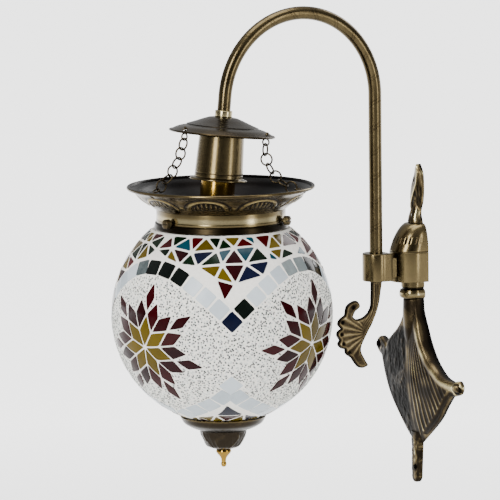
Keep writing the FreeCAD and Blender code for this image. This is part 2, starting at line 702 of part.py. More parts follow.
# ---------------------------------------------------------------- chains
def chain_ends(angle):
    """Centres of the chain's hole in the canopy and of its hole in the gallery."""
    a = math.radians(angle)
    top = head.multVec(Vector(canopy_hole_r * math.cos(a), canopy_hole_r * math.sin(a),
                              canopy_surface(canopy_hole_r, -canopy_wall / 2)))
    low = Vector(dish_hole_r * math.cos(a), lamp_y + dish_hole_r * math.sin(a), dish_rim_z - 0.9)
    return top, low


def link_count():
    """Round links in every chain: enough for the longest distance between two holes, and some slack."""
    spans = [(low - top).Length for top, low in map(chain_ends, angles)]
    return math.ceil((max(spans) * chain_slack - 2 * (hook_reach + eye_pitch)) / link_pitch) + 1


def length_of_chain():
    """Length of a chain from hole to hole, pulled straight."""
    return 2 * (hook_reach + eye_pitch) + (link_count() - 1) * link_pitch


def sag_half_angle(span, length):
    """Half the angle of the arc of a length whose chord is span, by bisection."""
    low, high = 0.001, 3.0
    for _ in range(60):
        half = (low + high) / 2
        if length * math.sin(half) / half > span:
            low = half
        else:
            high = half
    return (low + high) / 2


def chain_points(angle):
    """A function that gives the point at a length along the chain's sagging arc, and the arc's side."""
    top, low = chain_ends(angle)
    chord = low - top
    span = chord.Length
    along = chord * (1 / span)
    side = along.cross(Vector(0, 0, 1))
    side = side * (1 / side.Length)
    down = along.cross(side)
    if down.z > 0:
        down = down * -1
    whole = length_of_chain()
    half = sag_half_angle(span, whole)
    radius = whole / (2 * half)

    def point(length):
        turn = -half + length / radius
        run = span / 2 + radius * math.sin(turn)
        drop = radius * (math.cos(turn) - math.cos(half))
        return top + along * run + down * drop

    return point, side


def wire_hook(eye, hole, through, side):
    """A wire hook: an eye, a shank to the hole, and a stub on through it that ends in a knob."""
    shank_dir = hole - eye
    reach = shank_dir.Length
    shank_dir = shank_dir * (1 / reach)
    ring = Part.makeTorus(hook_eye_r, hook_wire_r, eye, side)
    shank = Part.makeCylinder(hook_wire_r, reach - hook_eye_r, eye + shank_dir * hook_eye_r, shank_dir)
    elbow = Part.makeSphere(hook_wire_r, hole)
    stub = Part.makeCylinder(hook_wire_r, hook_stub, hole, through)
    knob = Part.makeSphere(hook_wire_r * 1.6, hole + through * hook_stub)
    return ring.fuse([shank, elbow, stub, knob]).removeSplitter()


def chain(angle):
    """Round links between two wire hooks, hung in an arc between the canopy and the gallery."""
    point, side = chain_points(angle)
    links, whole = link_count(), length_of_chain()
    up = head.Rotation.multVec(Vector(0, 0, 1))
    solids = [wire_hook(point(hook_reach), point(0), up, side)]
    for i in range(links + 1):
        at = hook_reach + eye_pitch + i * link_pitch
        along = point(at + 1) - point(at - 1)
        along = along * (1 / along.Length)
        normal = along.cross(side) if i % 2 == 0 else side
        if i < links:
            solids.append(Part.makeTorus(link_r, link_wire_r, point(at), normal))
    solids.append(wire_hook(point(whole - hook_reach), point(whole), Vector(0, 0, -1), normal))
    return group(solids)


# ---------------------------------------------------------------- bottom cap
def bottom_cap():
    """Spun cap that hugs the globe, with a tapered cup below it, hollow inside."""
    outer = [(cap_rim_r, cap_rim_z), (cap_rim_r - 3.0, cap_rim_z - 4.8), (cap_rim_r - 8.9, cap_rim_z - 8.3),
             (cup_r + 0.8, cup_top_z + 1.1), (cup_r, cup_top_z), (cup_r - 1.0, cup_top_z - 3.9),
             (cup_r - 3.4, cup_top_z - 8.8), (cup_r - 5.8, cup_bottom_z + 2.0), (cup_r - 11.0, cup_bottom_z),
             (0, cup_bottom_z)]
    body = turned(outer + [(0, cap_rim_z + 4), (cap_rim_r - 1.4, cap_rim_z + 1.2)], lamp_y)
    body = body.cut(Part.makeSphere(globe_r, Vector(0, lamp_y, globe_z)))
    wall = cap_wall
    ball_foot = globe_z - globe_r + 1.0
    inner = [(cup_r - wall, ball_foot), (cup_r - wall, cup_top_z), (cup_r - 1.0 - wall, cup_top_z - 3.9),
             (cup_r - 3.4 - wall, cup_top_z - 8.5), (cup_r - 6.8, cup_bottom_z + 2.0 + wall),
             (cup_r - 11.2, cup_bottom_z + wall), (0, cup_bottom_z + wall), (0, ball_foot)]
    body = body.cut(turned(inner, lamp_y))
    return body.cut(rod(stud_r + slide_clear, cup_bottom_z - 1, cup_bottom_z + 3, 0, lamp_y)).removeSplitter()


def finial():
    """Small turned brass finial screwed on the stud."""
    top = cup_bottom_z
    profile = [("line", [(stud_r, top), (4.6, top), (5.6, top - 0.9), (5.8, top - 2.0)]),
               ("curve", [(5.8, top - 2.0), (4.9, top - 3.6), (3.2, top - 5.6), (1.9, top - 8.0)]),
               ("line", [(1.9, top - 8.0), (1.7, top - 10.2)]),
               ("curve", [(1.7, top - 10.2), (2.1, top - 11.2), (1.9, top - 12.8), (0.9, finial_bottom_z)]),
               ("line", [(0.9, finial_bottom_z), (0, finial_bottom_z), (0, top - 7), (stud_r, top - 7),
                         (stud_r, top)])]
    return turned_curve(profile, lamp_y)


def finial_stud():
    """Threaded stud that runs from inside the globe, through its hole and the cap, into the finial."""
    return rod(stud_r, cup_bottom_z - 6.5, globe_z - glass_r + glass_wall + 8, 0, lamp_y)


def globe_washers():
    """Rubber washer and steel washer inside the globe, over its hole."""
    floor_z = globe_z - math.sqrt((glass_r - glass_wall) ** 2 - 9.0**2)
    soft = pipe(9, stud_r + slide_clear, floor_z, floor_z + 1.6, 0, lamp_y)
    hard = pipe(8, stud_r + slide_clear, floor_z + 1.6, floor_z + 2.6, 0, lamp_y)
    return soft, hard, floor_z + 2.6


def stud_nut(low):
    """Hexagonal nut on the stud, on top of the washers."""
    turns = [math.radians(60 * i) for i in range(6)]
    points = [Vector(3.2 * math.cos(a), lamp_y + 3.2 * math.sin(a), low) for a in turns]
    nut = face_of(straight(points + points[:1])).extrude(Vector(0, 0, 2.4))
    return nut.cut(rod(stud_r, low - 1, low + 4, 0, lamp_y))


# ---------------------------------------------------------------- bulb
def bulb_glass():
    """Thin glass envelope of the bulb, a ball with a short throat."""
    throat = -bulb_cap_top - bulb_cap_length
    centre = -bulb_cap_top - bulb_length + bulb_r
    ball = Part.makeSphere(bulb_r, Vector(0, 0, centre))
    cone = Part.makeCone(11.0, bulb_cap_r - 0.4, 16.0, Vector(0, 0, throat - 15.0))
    outer = ball.fuse(cone)
    inner_ball = Part.makeSphere(bulb_r - bulb_glass_wall, Vector(0, 0, centre))
    inner_cone = Part.makeCone(11.0 - bulb_glass_wall, bulb_cap_r - 0.4 - bulb_glass_wall, 16.0,
                               Vector(0, 0, throat - 15.0))
    return in_head(outer.cut(inner_ball.fuse(inner_cone)).removeSplitter())


def bulb_cap():
    """The bulb's metal cap with its rounded thread, closed at the top by the centre contact."""
    turns, pitch = 5, 2.8
    low, high = -bulb_cap_top - bulb_cap_length, -bulb_cap_top
    root_r = bulb_cap_r - bulb_thread_depth
    points = [(0, low + 1.0), (root_r, low + 1.0), (root_r, low + 3.5)]
    for i in range(turns):
        base = low + 4.0 + i * pitch
        points += [(root_r, base), (bulb_cap_r, base + pitch * 0.3), (bulb_cap_r, base + pitch * 0.5),
                   (root_r, base + pitch * 0.8)]
    points += [(root_r, high - 4.0), (3.2, high - 1.2), (2.2, high), (0, high)]
    return in_head(turned(points))


def main():
    os.makedirs("parts", exist_ok=True)
    save("wall_plate", fan_plate())
    save("neck_bead", neck_bead())
    save("bracket_boss", boss())
    save("dome_cap", dome())
    save("leaf_finial", top_leaf())
    save("casting_screws", casting_screws())
    save("scroll_ornament", scroll())
    save("collar_set_screw", set_screw())
    save("terminal_block", terminal_block())
    save("terminal_screws", terminal_screws())
    save("boss_lead", boss_lead())

    save("arm_tube", arm_tube())
    save("arm_lead", arm_lead())
    save("end_ring", end_ring())
    save("canopy", canopy())
    save("lock_nuts", group([hex_nut(nut_top), hex_nut(lower_nut_top)]))
    save("holder_cover", holder_cover())
    save("holder_shell", holder_shell())
    save("holder_insulator", holder_insulator())
    save("holder_contacts", holder_contacts())
    save("shade_ring", shade_ring())

    save("gallery_dish", clear_rivets(gallery_dish()))
    save("fitter_ring", clear_rivets(fitter_ring()))
    save("fitter_rivets", fitter_rivets())
    save("glass_globe", glass_globe())
    save("mosaic_skin", mosaic_skin())
    save("bottom_cap", bottom_cap())
    save("finial", finial())
    save("finial_stud", finial_stud())
    soft, hard, nut_z = globe_washers()
    save("globe_gasket", soft)
    save("globe_washer", hard)
    save("stud_nut", stud_nut(nut_z))
    save("bulb_glass", bulb_glass())
    save("bulb_cap", bulb_cap())
    for number, angle in enumerate(angles, 1):
        save("thumbscrew_%d" % number, thumbscrew(angle))
        save("chain_%d" % number, chain(angle))


main()
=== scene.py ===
"""Finished looks of a mosaic glass wall lamp: cast relief, spun brass, glass tiles, beads and a studio."""

import json
import math

import bmesh
import bpy
import numpy as np
from bpy.props import FloatProperty, IntProperty, PointerProperty
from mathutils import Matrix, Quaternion, Vector
from mathutils.geometry import delaunay_2d_cdt


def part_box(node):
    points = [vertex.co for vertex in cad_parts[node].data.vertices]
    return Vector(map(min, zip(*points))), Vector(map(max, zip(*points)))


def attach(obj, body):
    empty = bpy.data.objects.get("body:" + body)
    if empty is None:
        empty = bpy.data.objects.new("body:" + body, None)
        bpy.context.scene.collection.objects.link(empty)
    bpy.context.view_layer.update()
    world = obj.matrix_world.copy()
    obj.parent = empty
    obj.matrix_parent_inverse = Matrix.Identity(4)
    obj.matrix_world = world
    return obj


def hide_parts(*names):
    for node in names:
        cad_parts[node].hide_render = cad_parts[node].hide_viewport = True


bl_info = {
    "name": "Mosaic wall lamp finish",
    "version": (1, 0, 0),
    "blender": (4, 5, 0),
    "location": "3D View > Sidebar > Lamp",
    "description": "Builds the finished surfaces of a mosaic glass wall lamp around its fixed frame",
    "category": "Object",
}

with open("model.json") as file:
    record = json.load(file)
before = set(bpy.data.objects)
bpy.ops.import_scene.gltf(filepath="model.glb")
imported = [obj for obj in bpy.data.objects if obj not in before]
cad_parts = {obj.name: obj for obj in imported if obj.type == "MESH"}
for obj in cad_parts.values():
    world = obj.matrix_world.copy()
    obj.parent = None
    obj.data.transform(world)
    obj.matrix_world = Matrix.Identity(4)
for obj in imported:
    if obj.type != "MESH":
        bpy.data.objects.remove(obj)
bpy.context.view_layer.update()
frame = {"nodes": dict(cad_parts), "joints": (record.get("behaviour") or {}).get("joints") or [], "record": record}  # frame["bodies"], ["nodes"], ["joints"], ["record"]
MM = 0.001


# ---------------------------------------------------------------- places taken from the frame
def corners_mm(node):
    """Lowest and highest corner of a CAD node, in millimetres."""
    low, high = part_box(node)
    return np.array(low) / MM, np.array(high) / MM


def joint_named(name):
    """The record's joint of that name."""
    return next(j for j in frame["joints"] if j["name"] == name)


def unit(vectors):
    """Each vector divided by its own length."""
    vectors = np.asarray(vectors, float)
    return vectors / np.linalg.norm(vectors, axis=-1, keepdims=True)


RING_STATION = 13.4  # the end ring's middle lies this far down the tube from the end of its bend
MOSAIC_END_R = 29.0  # radius at which the mosaic stops under the bottom cap

head_down = unit(joint_named("bulb_unscrew")["axis"])
head_origin = sum(corners_mm("end_ring")) / 2 - head_down * RING_STATION
arm_y = joint_named("arm_swivel")["pos_m"][1] / MM
globe_low, globe_high = corners_mm("mosaic_skin")
globe_r = (globe_high[0] - globe_low[0]) / 2
globe_centre = np.array([0.0, sum(corners_mm("glass_globe"))[1] / 2,
                         globe_low[2] + math.sqrt(globe_r**2 - MOSAIC_END_R**2)])


def in_head(points):
    """Points drawn with +Z up the tilted tube end, moved to its place: origin + x side + y (up x side) + z
    up."""
    up = -head_down
    side = np.array([1.0, 0.0, 0.0])
    return head_origin + points[..., :1] * side + points[..., 1:2] * np.cross(up, side) + points[..., 2:] * up


def on_lamp(points):
    """Points drawn about the origin, moved to the globe's upright axis."""
    return points + np.array([0.0, globe_centre[1], 0.0])


# ---------------------------------------------------------------- outlines and curves
def rounded(corners, radius, steps=4):
    """Closed outline whose corners are quadratic curves: p = (1-t)^2 a + 2t(1-t) c + t^2 b, with a and b at
    most radius away from corner c along its two sides."""
    corners = np.asarray(corners, float)
    before, after = np.roll(corners, 1, 0) - corners, np.roll(corners, -1, 0) - corners
    t = np.linspace(0, 1, steps + 1)[None, :, None]
    ends = []
    for side in (before, after):
        length = np.linalg.norm(side, axis=1, keepdims=True)
        ends.append(corners + side / length * np.minimum(radius, 0.45 * length))
    a, b = ends[0][:, None], ends[1][:, None]
    return ((1 - t) ** 2 * a + 2 * t * (1 - t) * corners[:, None] + t**2 * b).reshape(-1, corners.shape[1])


def smooth_path(points, steps):
    """Catmull-Rom curve through the points, steps points to a span:
    p = 0.5 (2b + (c-a)t + (2a-5b+4c-d)t^2 + (3b-a-3c+d)t^3)."""
    p = np.asarray(points, float)
    p = np.vstack([2 * p[0] - p[1], p, 2 * p[-1] - p[-2]])
    t = np.linspace(0, 1, steps, endpoint=False)[None, :, None]
    a, b, c, d = (p[i:len(p) - 3 + i, None] for i in range(4))
    curve = 0.5 * (2 * b + (c - a) * t + (2 * a - 5 * b + 4 * c - d) * t**2 + (3 * b - a - 3 * c + d) * t**3)
    return np.vstack([curve.reshape(-1, p.shape[1]), p[-2:-1]])


def spaced(path, spacing, closed=True):
    """The same path with points at even steps of about spacing along it."""
    path = np.asarray(path, float)
    if closed:
        path = np.vstack([path, path[:1]])
    along = np.concatenate([[0], np.cumsum(np.linalg.norm(np.diff(path, axis=0), axis=1))])
    count = max(3, int(round(along[-1] / spacing)))
    at = np.linspace(0, along[-1], count + 1)
    even = np.stack([np.interp(at, along, path[:, k]) for k in range(path.shape[1])], 1)
    return even[:-1] if closed else even


def inside(points, outline):
    """Even-odd test: true where a ray to the right of a point crosses the outline an odd number of times."""
    x, y = points[:, :1], points[:, 1:]
    a, b = outline, np.roll(outline, -1, 0)
    spans = (a[:, 1] > y) != (b[:, 1] > y)
    rise = np.where(b[:, 1] == a[:, 1], 1e-9, b[:, 1] - a[:, 1])
    crossing = a[:, 0] + (y - a[:, 1]) * (b[:, 0] - a[:, 0]) / rise
    return (spans & (x < crossing)).sum(1) % 2 == 1


def path_distance(points, path):
    """Distance from each point to the nearest side of an open path: |p - a - clip((p-a).(b-a)/|b-a|^2)
    (b-a)|."""
    long_enough = np.linalg.norm(np.diff(path, axis=0), axis=1) > 1e-9
    a, b = path[:-1][long_enough], path[1:][long_enough]
    side = b - a
    offset = points[:, None] - a[None]
    t = np.clip((offset * side).sum(-1) / (side**2).sum(-1), 0, 1)
    return np.linalg.norm(offset - t[..., None] * side, axis=-1).min(1)


def bump(x, width):
    """Smooth hump: cos^2 of x over width, and zero outside it."""
    return np.where(np.abs(x) < width, np.cos(np.clip(x / width, -1, 1) * math.pi / 2) ** 2, 0)


def step(x, low, high):
    """Smooth step from 0 at low to 1 at high: t^2 (3 - 2t)."""
    t = np.clip((x - low) / (high - low), 0, 1)
    return t * t * (3 - 2 * t)


def blotches(x, z, size, seed):
    """Smooth random field from -1 to 1: random values on a lattice of the given size, blended by t^2 (3 -
    2t)."""
    values = np.random.default_rng(seed).uniform(-1, 1, (64, 64))
    i, j = np.floor(x / size).astype(int), np.floor(z / size).astype(int)
    u, v = step(x / size - i, 0, 1), step(z / size - j, 0, 1)
    low = values[i % 64, j % 64] * (1 - u) + values[(i + 1) % 64, j % 64] * u
    high = values[i % 64, (j + 1) % 64] * (1 - u) + values[(i + 1) % 64, (j + 1) % 64] * u
    return low * (1 - v) + high * v


# ---------------------------------------------------------------- meshes and pieces
def make_object(name, vertices, faces, tone=None, uv=None, sharp=35.0):
    """Closed object from points in millimetres: doubled points merged, faces turned outward, sharp edges
    kept."""
    mesh = bpy.data.meshes.new(name)
    mesh.from_pydata((np.asarray(vertices) * MM).tolist(), [], faces)
    if uv is not None:
        mesh.uv_layers.new(name="UVMap").data.foreach_set("uv", np.asarray(uv, np.float32).ravel())
    if tone is not None:
        mesh.attributes.new("tone", "FLOAT", "POINT").data.foreach_set("value",
                                                                       np.asarray(tone, np.float32).ravel())
    work = bmesh.new()
    work.from_mesh(mesh)
    bmesh.ops.remove_doubles(work, verts=work.verts, dist=2e-6)
    bmesh.ops.dissolve_degenerate(work, edges=work.edges, dist=1e-7)
    bmesh.ops.recalc_face_normals(work, faces=work.faces)
    work.to_mesh(mesh)
    work.free()
    mesh.polygons.foreach_set("use_smooth", np.ones(len(mesh.polygons), bool))
    mesh.set_sharp_from_angle(angle=math.radians(sharp))
    made = bpy.data.objects.new(name, mesh)
    bpy.context.scene.collection.objects.link(made)
    return made


def grid_object(name, points, tone=None, along=None, joined_rows=True, sharp=35.0):
    """Object from a grid of points [rows, columns]; columns always close, and rows close where
    joined_rows."""
    rows, columns = points.shape[:2]
    spans = rows if joined_rows else rows - 1
    i, j = (m.ravel() for m in np.meshgrid(np.arange(spans), np.arange(columns), indexing="ij"))
    after_i, after_j = (i + 1) % rows, (j + 1) % columns
    faces = np.stack([i * columns + j, i * columns + after_j, after_i * columns + after_j,
                      after_i * columns + j], 1)
    lengths = np.arange(rows + 1) if along is None else along
    low, high = lengths[i], lengths[i + 1]
    left, right = j / columns, (j + 1) / columns
    uv = np.stack([left, low, right, low, right, high, left, high], 1)
    return make_object(name, points.reshape(-1, 3), faces.tolist(), tone, uv, sharp)


def lathe(name, profile, place, relief=None, columns=160, closed=True, sharp=35.0):
    """Turned piece: the outline (r, z) swept round, (r cos a, r sin a, z). relief(angle, r, z) gives how far
    the skin stands out along the outline's normal and its tone. The outline runs upward on the outside."""
    profile = np.asarray(profile, float)
    ahead = np.roll(profile, -1, 0) if closed else np.vstack([profile[1:], profile[-1:]])
    behind = np.roll(profile, 1, 0) if closed else np.vstack([profile[:1], profile[:-1]])
    tangent = unit(ahead - behind)
    angle = np.linspace(0, 2 * math.pi, columns, endpoint=False)[None]
    r, z = profile[:, :1] + 0 * angle, profile[:, 1:] + 0 * angle
    tone = None
    if relief:
        height, tone = relief(angle, r, z)
        r, z = r + height * tangent[:, 1:], z - height * tangent[:, :1]
    points = place(np.stack([r * np.cos(angle), r * np.sin(angle), z], -1))
    loop = np.vstack([profile, profile[:1]])
    along = np.concatenate([[0], np.cumsum(np.linalg.norm(np.diff(loop, axis=0), axis=1))]) * MM
    return grid_object(name, points, tone, along, closed, sharp)


def filled(outline, holes, spacing):
    """Triangles that fill an outline less its holes: even points along every rim and a staggered lattice
    between."""
    rims = [spaced(path, spacing) for path in [outline] + holes]
    low, high = outline.min(0), outline.max(0)
    x, z = np.meshgrid(np.arange(low[0], high[0], spacing), np.arange(low[1], high[1], spacing * 0.87))
    x = x + (np.arange(x.shape[0]) % 2)[:, None] * spacing / 2
    lattice = np.stack([x.ravel(), z.ravel()], 1)
    keep = inside(lattice, rims[0])
    for number, rim in enumerate(rims):
        keep &= path_distance(lattice, np.vstack([rim, rim[:1]])) > spacing * 0.55
        if number:
            keep &= ~inside(lattice, rim)
    edges, start = [], 0
    for rim in rims:
        count = len(rim)
        edges += [(start + k, start + (k + 1) % count) for k in range(count)]
        start += count
    every = np.vstack(rims + [lattice[keep]])
    points, _, triangles, *_ = delaunay_2d_cdt([Vector(p) for p in every], edges, [], 1, 1e-5)
    points, triangles = np.array(points), np.array(triangles)
    middle = points[triangles].mean(1)
    keep = inside(middle, rims[0])
    for rim in rims[1:]:
        keep &= ~inside(middle, rim)
    return points, triangles[keep]


def relief_solid(name, points, triangles, front, back, place, tones):
    """Solid between two height fields over a filled outline, with walls along every edge that one triangle
    owns."""
    count = len(points)
    sides = np.concatenate([triangles[:, [0, 1]], triangles[:, [1, 2]], triangles[:, [2, 0]]])
    _, first, uses = np.unique(np.sort(sides, 1), axis=0, return_index=True, return_counts=True)
    rim = sides[first[uses == 1]]
    walls = np.stack([rim[:, 1], rim[:, 0], rim[:, 0] + count, rim[:, 1] + count], 1)
    vertices = np.vstack([place(points, front), place(points, back)])
    faces = triangles.tolist() + (triangles[:, ::-1] + count).tolist() + walls.tolist()
    return make_object(name, vertices, faces, np.concatenate(tones), None, 40.0)


def d_section(radius, base, straight=5, arc=64):
    """Closed half-round section standing off the wall y = 0 by base: up one side, round the front, down the
    other."""
    t = np.linspace(0, 1, straight, endpoint=False)
    turn = np.linspace(0, math.pi, arc)
    left = np.stack([np.full(straight, -radius), -base * t], 1)
    front = np.stack([-radius * np.cos(turn), -base - radius * np.sin(turn)], 1)
    right = np.stack([np.full(straight, radius), -base * (1 - t)], 1)[1:]
    back = np.stack([np.linspace(radius, -radius, 12)[:-1], np.zeros(11)], 1)
    return np.vstack([left, front, right, back])


def d_solid(name, sections, relief):
    """Solid through half-round sections (radius, base, z), closed at both ends by a fan to the section's
    middle. relief(turn, z) gives how far the front stands out and its tone, with turn from 0 to 1 round the
    section."""
    rows, tones = [], []
    for radius, base, z in sections:
        flat = d_section(radius, base)
        turn = np.linspace(0, 1, len(flat))
        height, tone = relief(turn, z)
        centre = np.array([0, -base])
        flat = flat + unit(flat - centre + 1e-9) * height[:, None]
        rows.append(np.column_stack([flat, np.full(len(flat), z)]))
        tones.append(tone)
    for end in (0, -1):
        pole = np.repeat(rows[end].mean(0, keepdims=True), len(rows[end]), 0)
        rows.insert(0 if end == 0 else len(rows), pole)
        tones.insert(0 if end == 0 else len(tones), tones[end])
    return grid_object(name, np.array(rows), np.array(tones), joined_rows=False)


def cut(target, *cutters):
    """Cuts other closed objects out of target and drops them."""
    for cutter in cutters:
        holes = target.modifiers.new("holes", "BOOLEAN")
        holes.object, holes.solver = cutter, "EXACT"
    scene_now = bpy.context.evaluated_depsgraph_get()
    mesh = bpy.data.meshes.new_from_object(target.evaluated_get(scene_now))
    target.modifiers.clear()
    target.data = mesh
    mesh.name = target.name
    mesh.set_sharp_from_angle(angle=math.radians(35))
    for cutter in cutters:
        bpy.data.objects.remove(cutter)
    return target


def set_piece(made, material, body, nodes=()):
    """Gives a piece its material and body, and hides the CAD nodes it stands for."""
    made.data.materials.clear()
    made.data.materials.append(material)
    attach(made, body)
    if nodes:
        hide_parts(*nodes)
    return made


# ---------------------------------------------------------------- materials
def linear(colour):
    """Linear RGBA of an sRGB hex colour: c/12.92 below 0.04045 and ((c+0.055)/1.055)^2.4 above."""
    parts = [int(colour[k:k + 2], 16) / 255 for k in (1, 3, 5)]
    return (*[c / 12.92 if c <= 0.04045 else ((c + 0.055) / 1.055) ** 2.4 for c in parts], 1.0)


def add(tree, kind, inputs=None, **settings):
    """Adds a shader node; an input's value is a constant or another node's socket."""
    made = tree.nodes.new(kind)
    for key, value in settings.items():
        setattr(made, key, value)
    for key, value in (inputs or {}).items():
        if isinstance(value, bpy.types.NodeSocket):
            tree.links.new(value, made.inputs[key])
        else:
            made.inputs[key].default_value = value
    return made


def new_material(name, **constants):
    """Material with one Principled shader, whose sockets take the constants; returns material, tree and
    shader."""
    material = bpy.data.materials.new(name)
    material.use_nodes = True
    tree = material.node_tree
    tree.nodes.clear()
    shader = add(tree, "ShaderNodeBsdfPrincipled", {k.replace("_", " "): v for k, v in constants.items()})
    out = add(tree, "ShaderNodeOutputMaterial")
    tree.links.new(shader.outputs["BSDF"], out.inputs["Surface"])
    return material, tree, shader


def noise(tree, size_mm, detail=4.0):
    """Noise whose blobs are about size_mm across on the object, 0 to 1."""
    place = add(tree, "ShaderNodeTexCoord").outputs["Object"]
    made = add(tree, "ShaderNodeTexNoise", {"Vector": place, "Scale": 1000.0 / size_mm, "Detail": detail,
                                            "Roughness": 0.55})
    return made.outputs["Fac"]


def math_of(tree, operation, a, b, c=None):
    """One arithmetic node's result."""
    made = add(tree, "ShaderNodeMath", {0: a, 1: b}, operation=operation)
    if c is not None:
        made.inputs[2].default_value = c
    return made.outputs["Value"]


def ramp(tree, value, stops):
    """Colour ramp over value from (position, sRGB hex) stops."""
    made = add(tree, "ShaderNodeValToRGB", {"Fac": value})
    elements = made.color_ramp.elements
    while len(elements) < len(stops):
        elements.new(0.5)
    for element, (position, colour) in zip(elements, stops):
        element.position, element.color = position, linear(colour)
    return made.outputs["Color"]


def spread(tree, value, low, high):
    """Value remapped from 0..1 to low..high."""
    return add(tree, "ShaderNodeMapRange", {"Value": value, "To Min": low, "To Max": high}).outputs["Result"]


def set_bump(tree, shader, height, distance_mm, strength=1.0):
    """Fine surface grain too small to model."""
    made = add(tree, "ShaderNodeBump", {"Height": height, "Distance": distance_mm * MM, "Strength": strength})
    tree.links.new(made.outputs["Normal"], shader.inputs["Normal"])


def aged_metal(name, stops, rough_low, rough_high, mottle=0.25, tone_gain=0.42, grain=None):
    """Brass whose tone is low where it keeps dark patina and where shade is painted, and high where it is
    rubbed bright and where a highlight is painted.
    The colour is tone * gain + mottled noise + 0.5, read through the stops from patina to bare metal."""
    material, tree, shader = new_material(name, Metallic=1.0)
    tone = add(tree, "ShaderNodeAttribute", attribute_name="tone").outputs["Fac"]
    blotch = math_of(tree, "MULTIPLY_ADD", noise(tree, 14.0), mottle, 0.5 - mottle / 2)
    speck = math_of(tree, "MULTIPLY_ADD", noise(tree, 1.1, 6.0), mottle * 0.8, -mottle * 0.4)
    value = math_of(tree, "ADD", math_of(tree, "MULTIPLY_ADD", tone, tone_gain, 0.0),
                    math_of(tree, "ADD", blotch, speck))
    tree.links.new(ramp(tree, value, stops), shader.inputs["Base Color"])
    tree.links.new(spread(tree, math_of(tree, "SUBTRACT", 1.0, value), rough_low, rough_high),
                   shader.inputs["Roughness"])
    if grain == "turned":
        at = add(tree, "ShaderNodeUVMap", uv_map="UVMap").outputs["UV"]
        lines = add(tree, "ShaderNodeMapping", {"Vector": at, "Scale": (3.0, 2400.0, 1.0)}).outputs["Vector"]
        made = add(tree, "ShaderNodeTexNoise", {"Vector": lines, "Scale": 1.0, "Detail": 2.0})
        set_bump(tree, shader, made.outputs["Fac"], 0.05, 0.6)
    else:
        set_bump(tree, shader, noise(tree, 0.9, 4.0), 0.03, 0.4)
    return material


def tile_glass(name, dark, light, roughness=0.12):
    """Stained glass tile: glossy, deep colour that shifts a little from tile to tile and within a tile."""
    material, tree, shader = new_material(name, Roughness=roughness, IOR=1.5, Specular_IOR_Level=0.15)
    tone = add(tree, "ShaderNodeAttribute", attribute_name="tone").outputs["Fac"]
    value = math_of(tree, "MULTIPLY_ADD", noise(tree, 5.0, 3.0), 0.5, 0.25)
    value = math_of(tree, "ADD", value, math_of(tree, "MULTIPLY", tone, 0.3))
    tree.links.new(ramp(tree, value, [(0.1, dark), (0.9, light)]), shader.inputs["Base Color"])
    set_bump(tree, shader, noise(tree, 9.0, 1.0), 0.12, 0.5)
    return material


def plain_finish(name, colours, roughness, size_mm=4.0, bump_mm=0.03, **constants):
    """Even finish with a faint drift between two colours and a fine grain."""
    material, tree, shader = new_material(name, Roughness=roughness, **constants)
    tree.links.new(ramp(tree, noise(tree, size_mm), [(0.3, colours[0]), (0.7, colours[1])]),
                   shader.inputs["Base Color"])
    set_bump(tree, shader, noise(tree, size_mm / 5), bump_mm, 0.6)
    return material


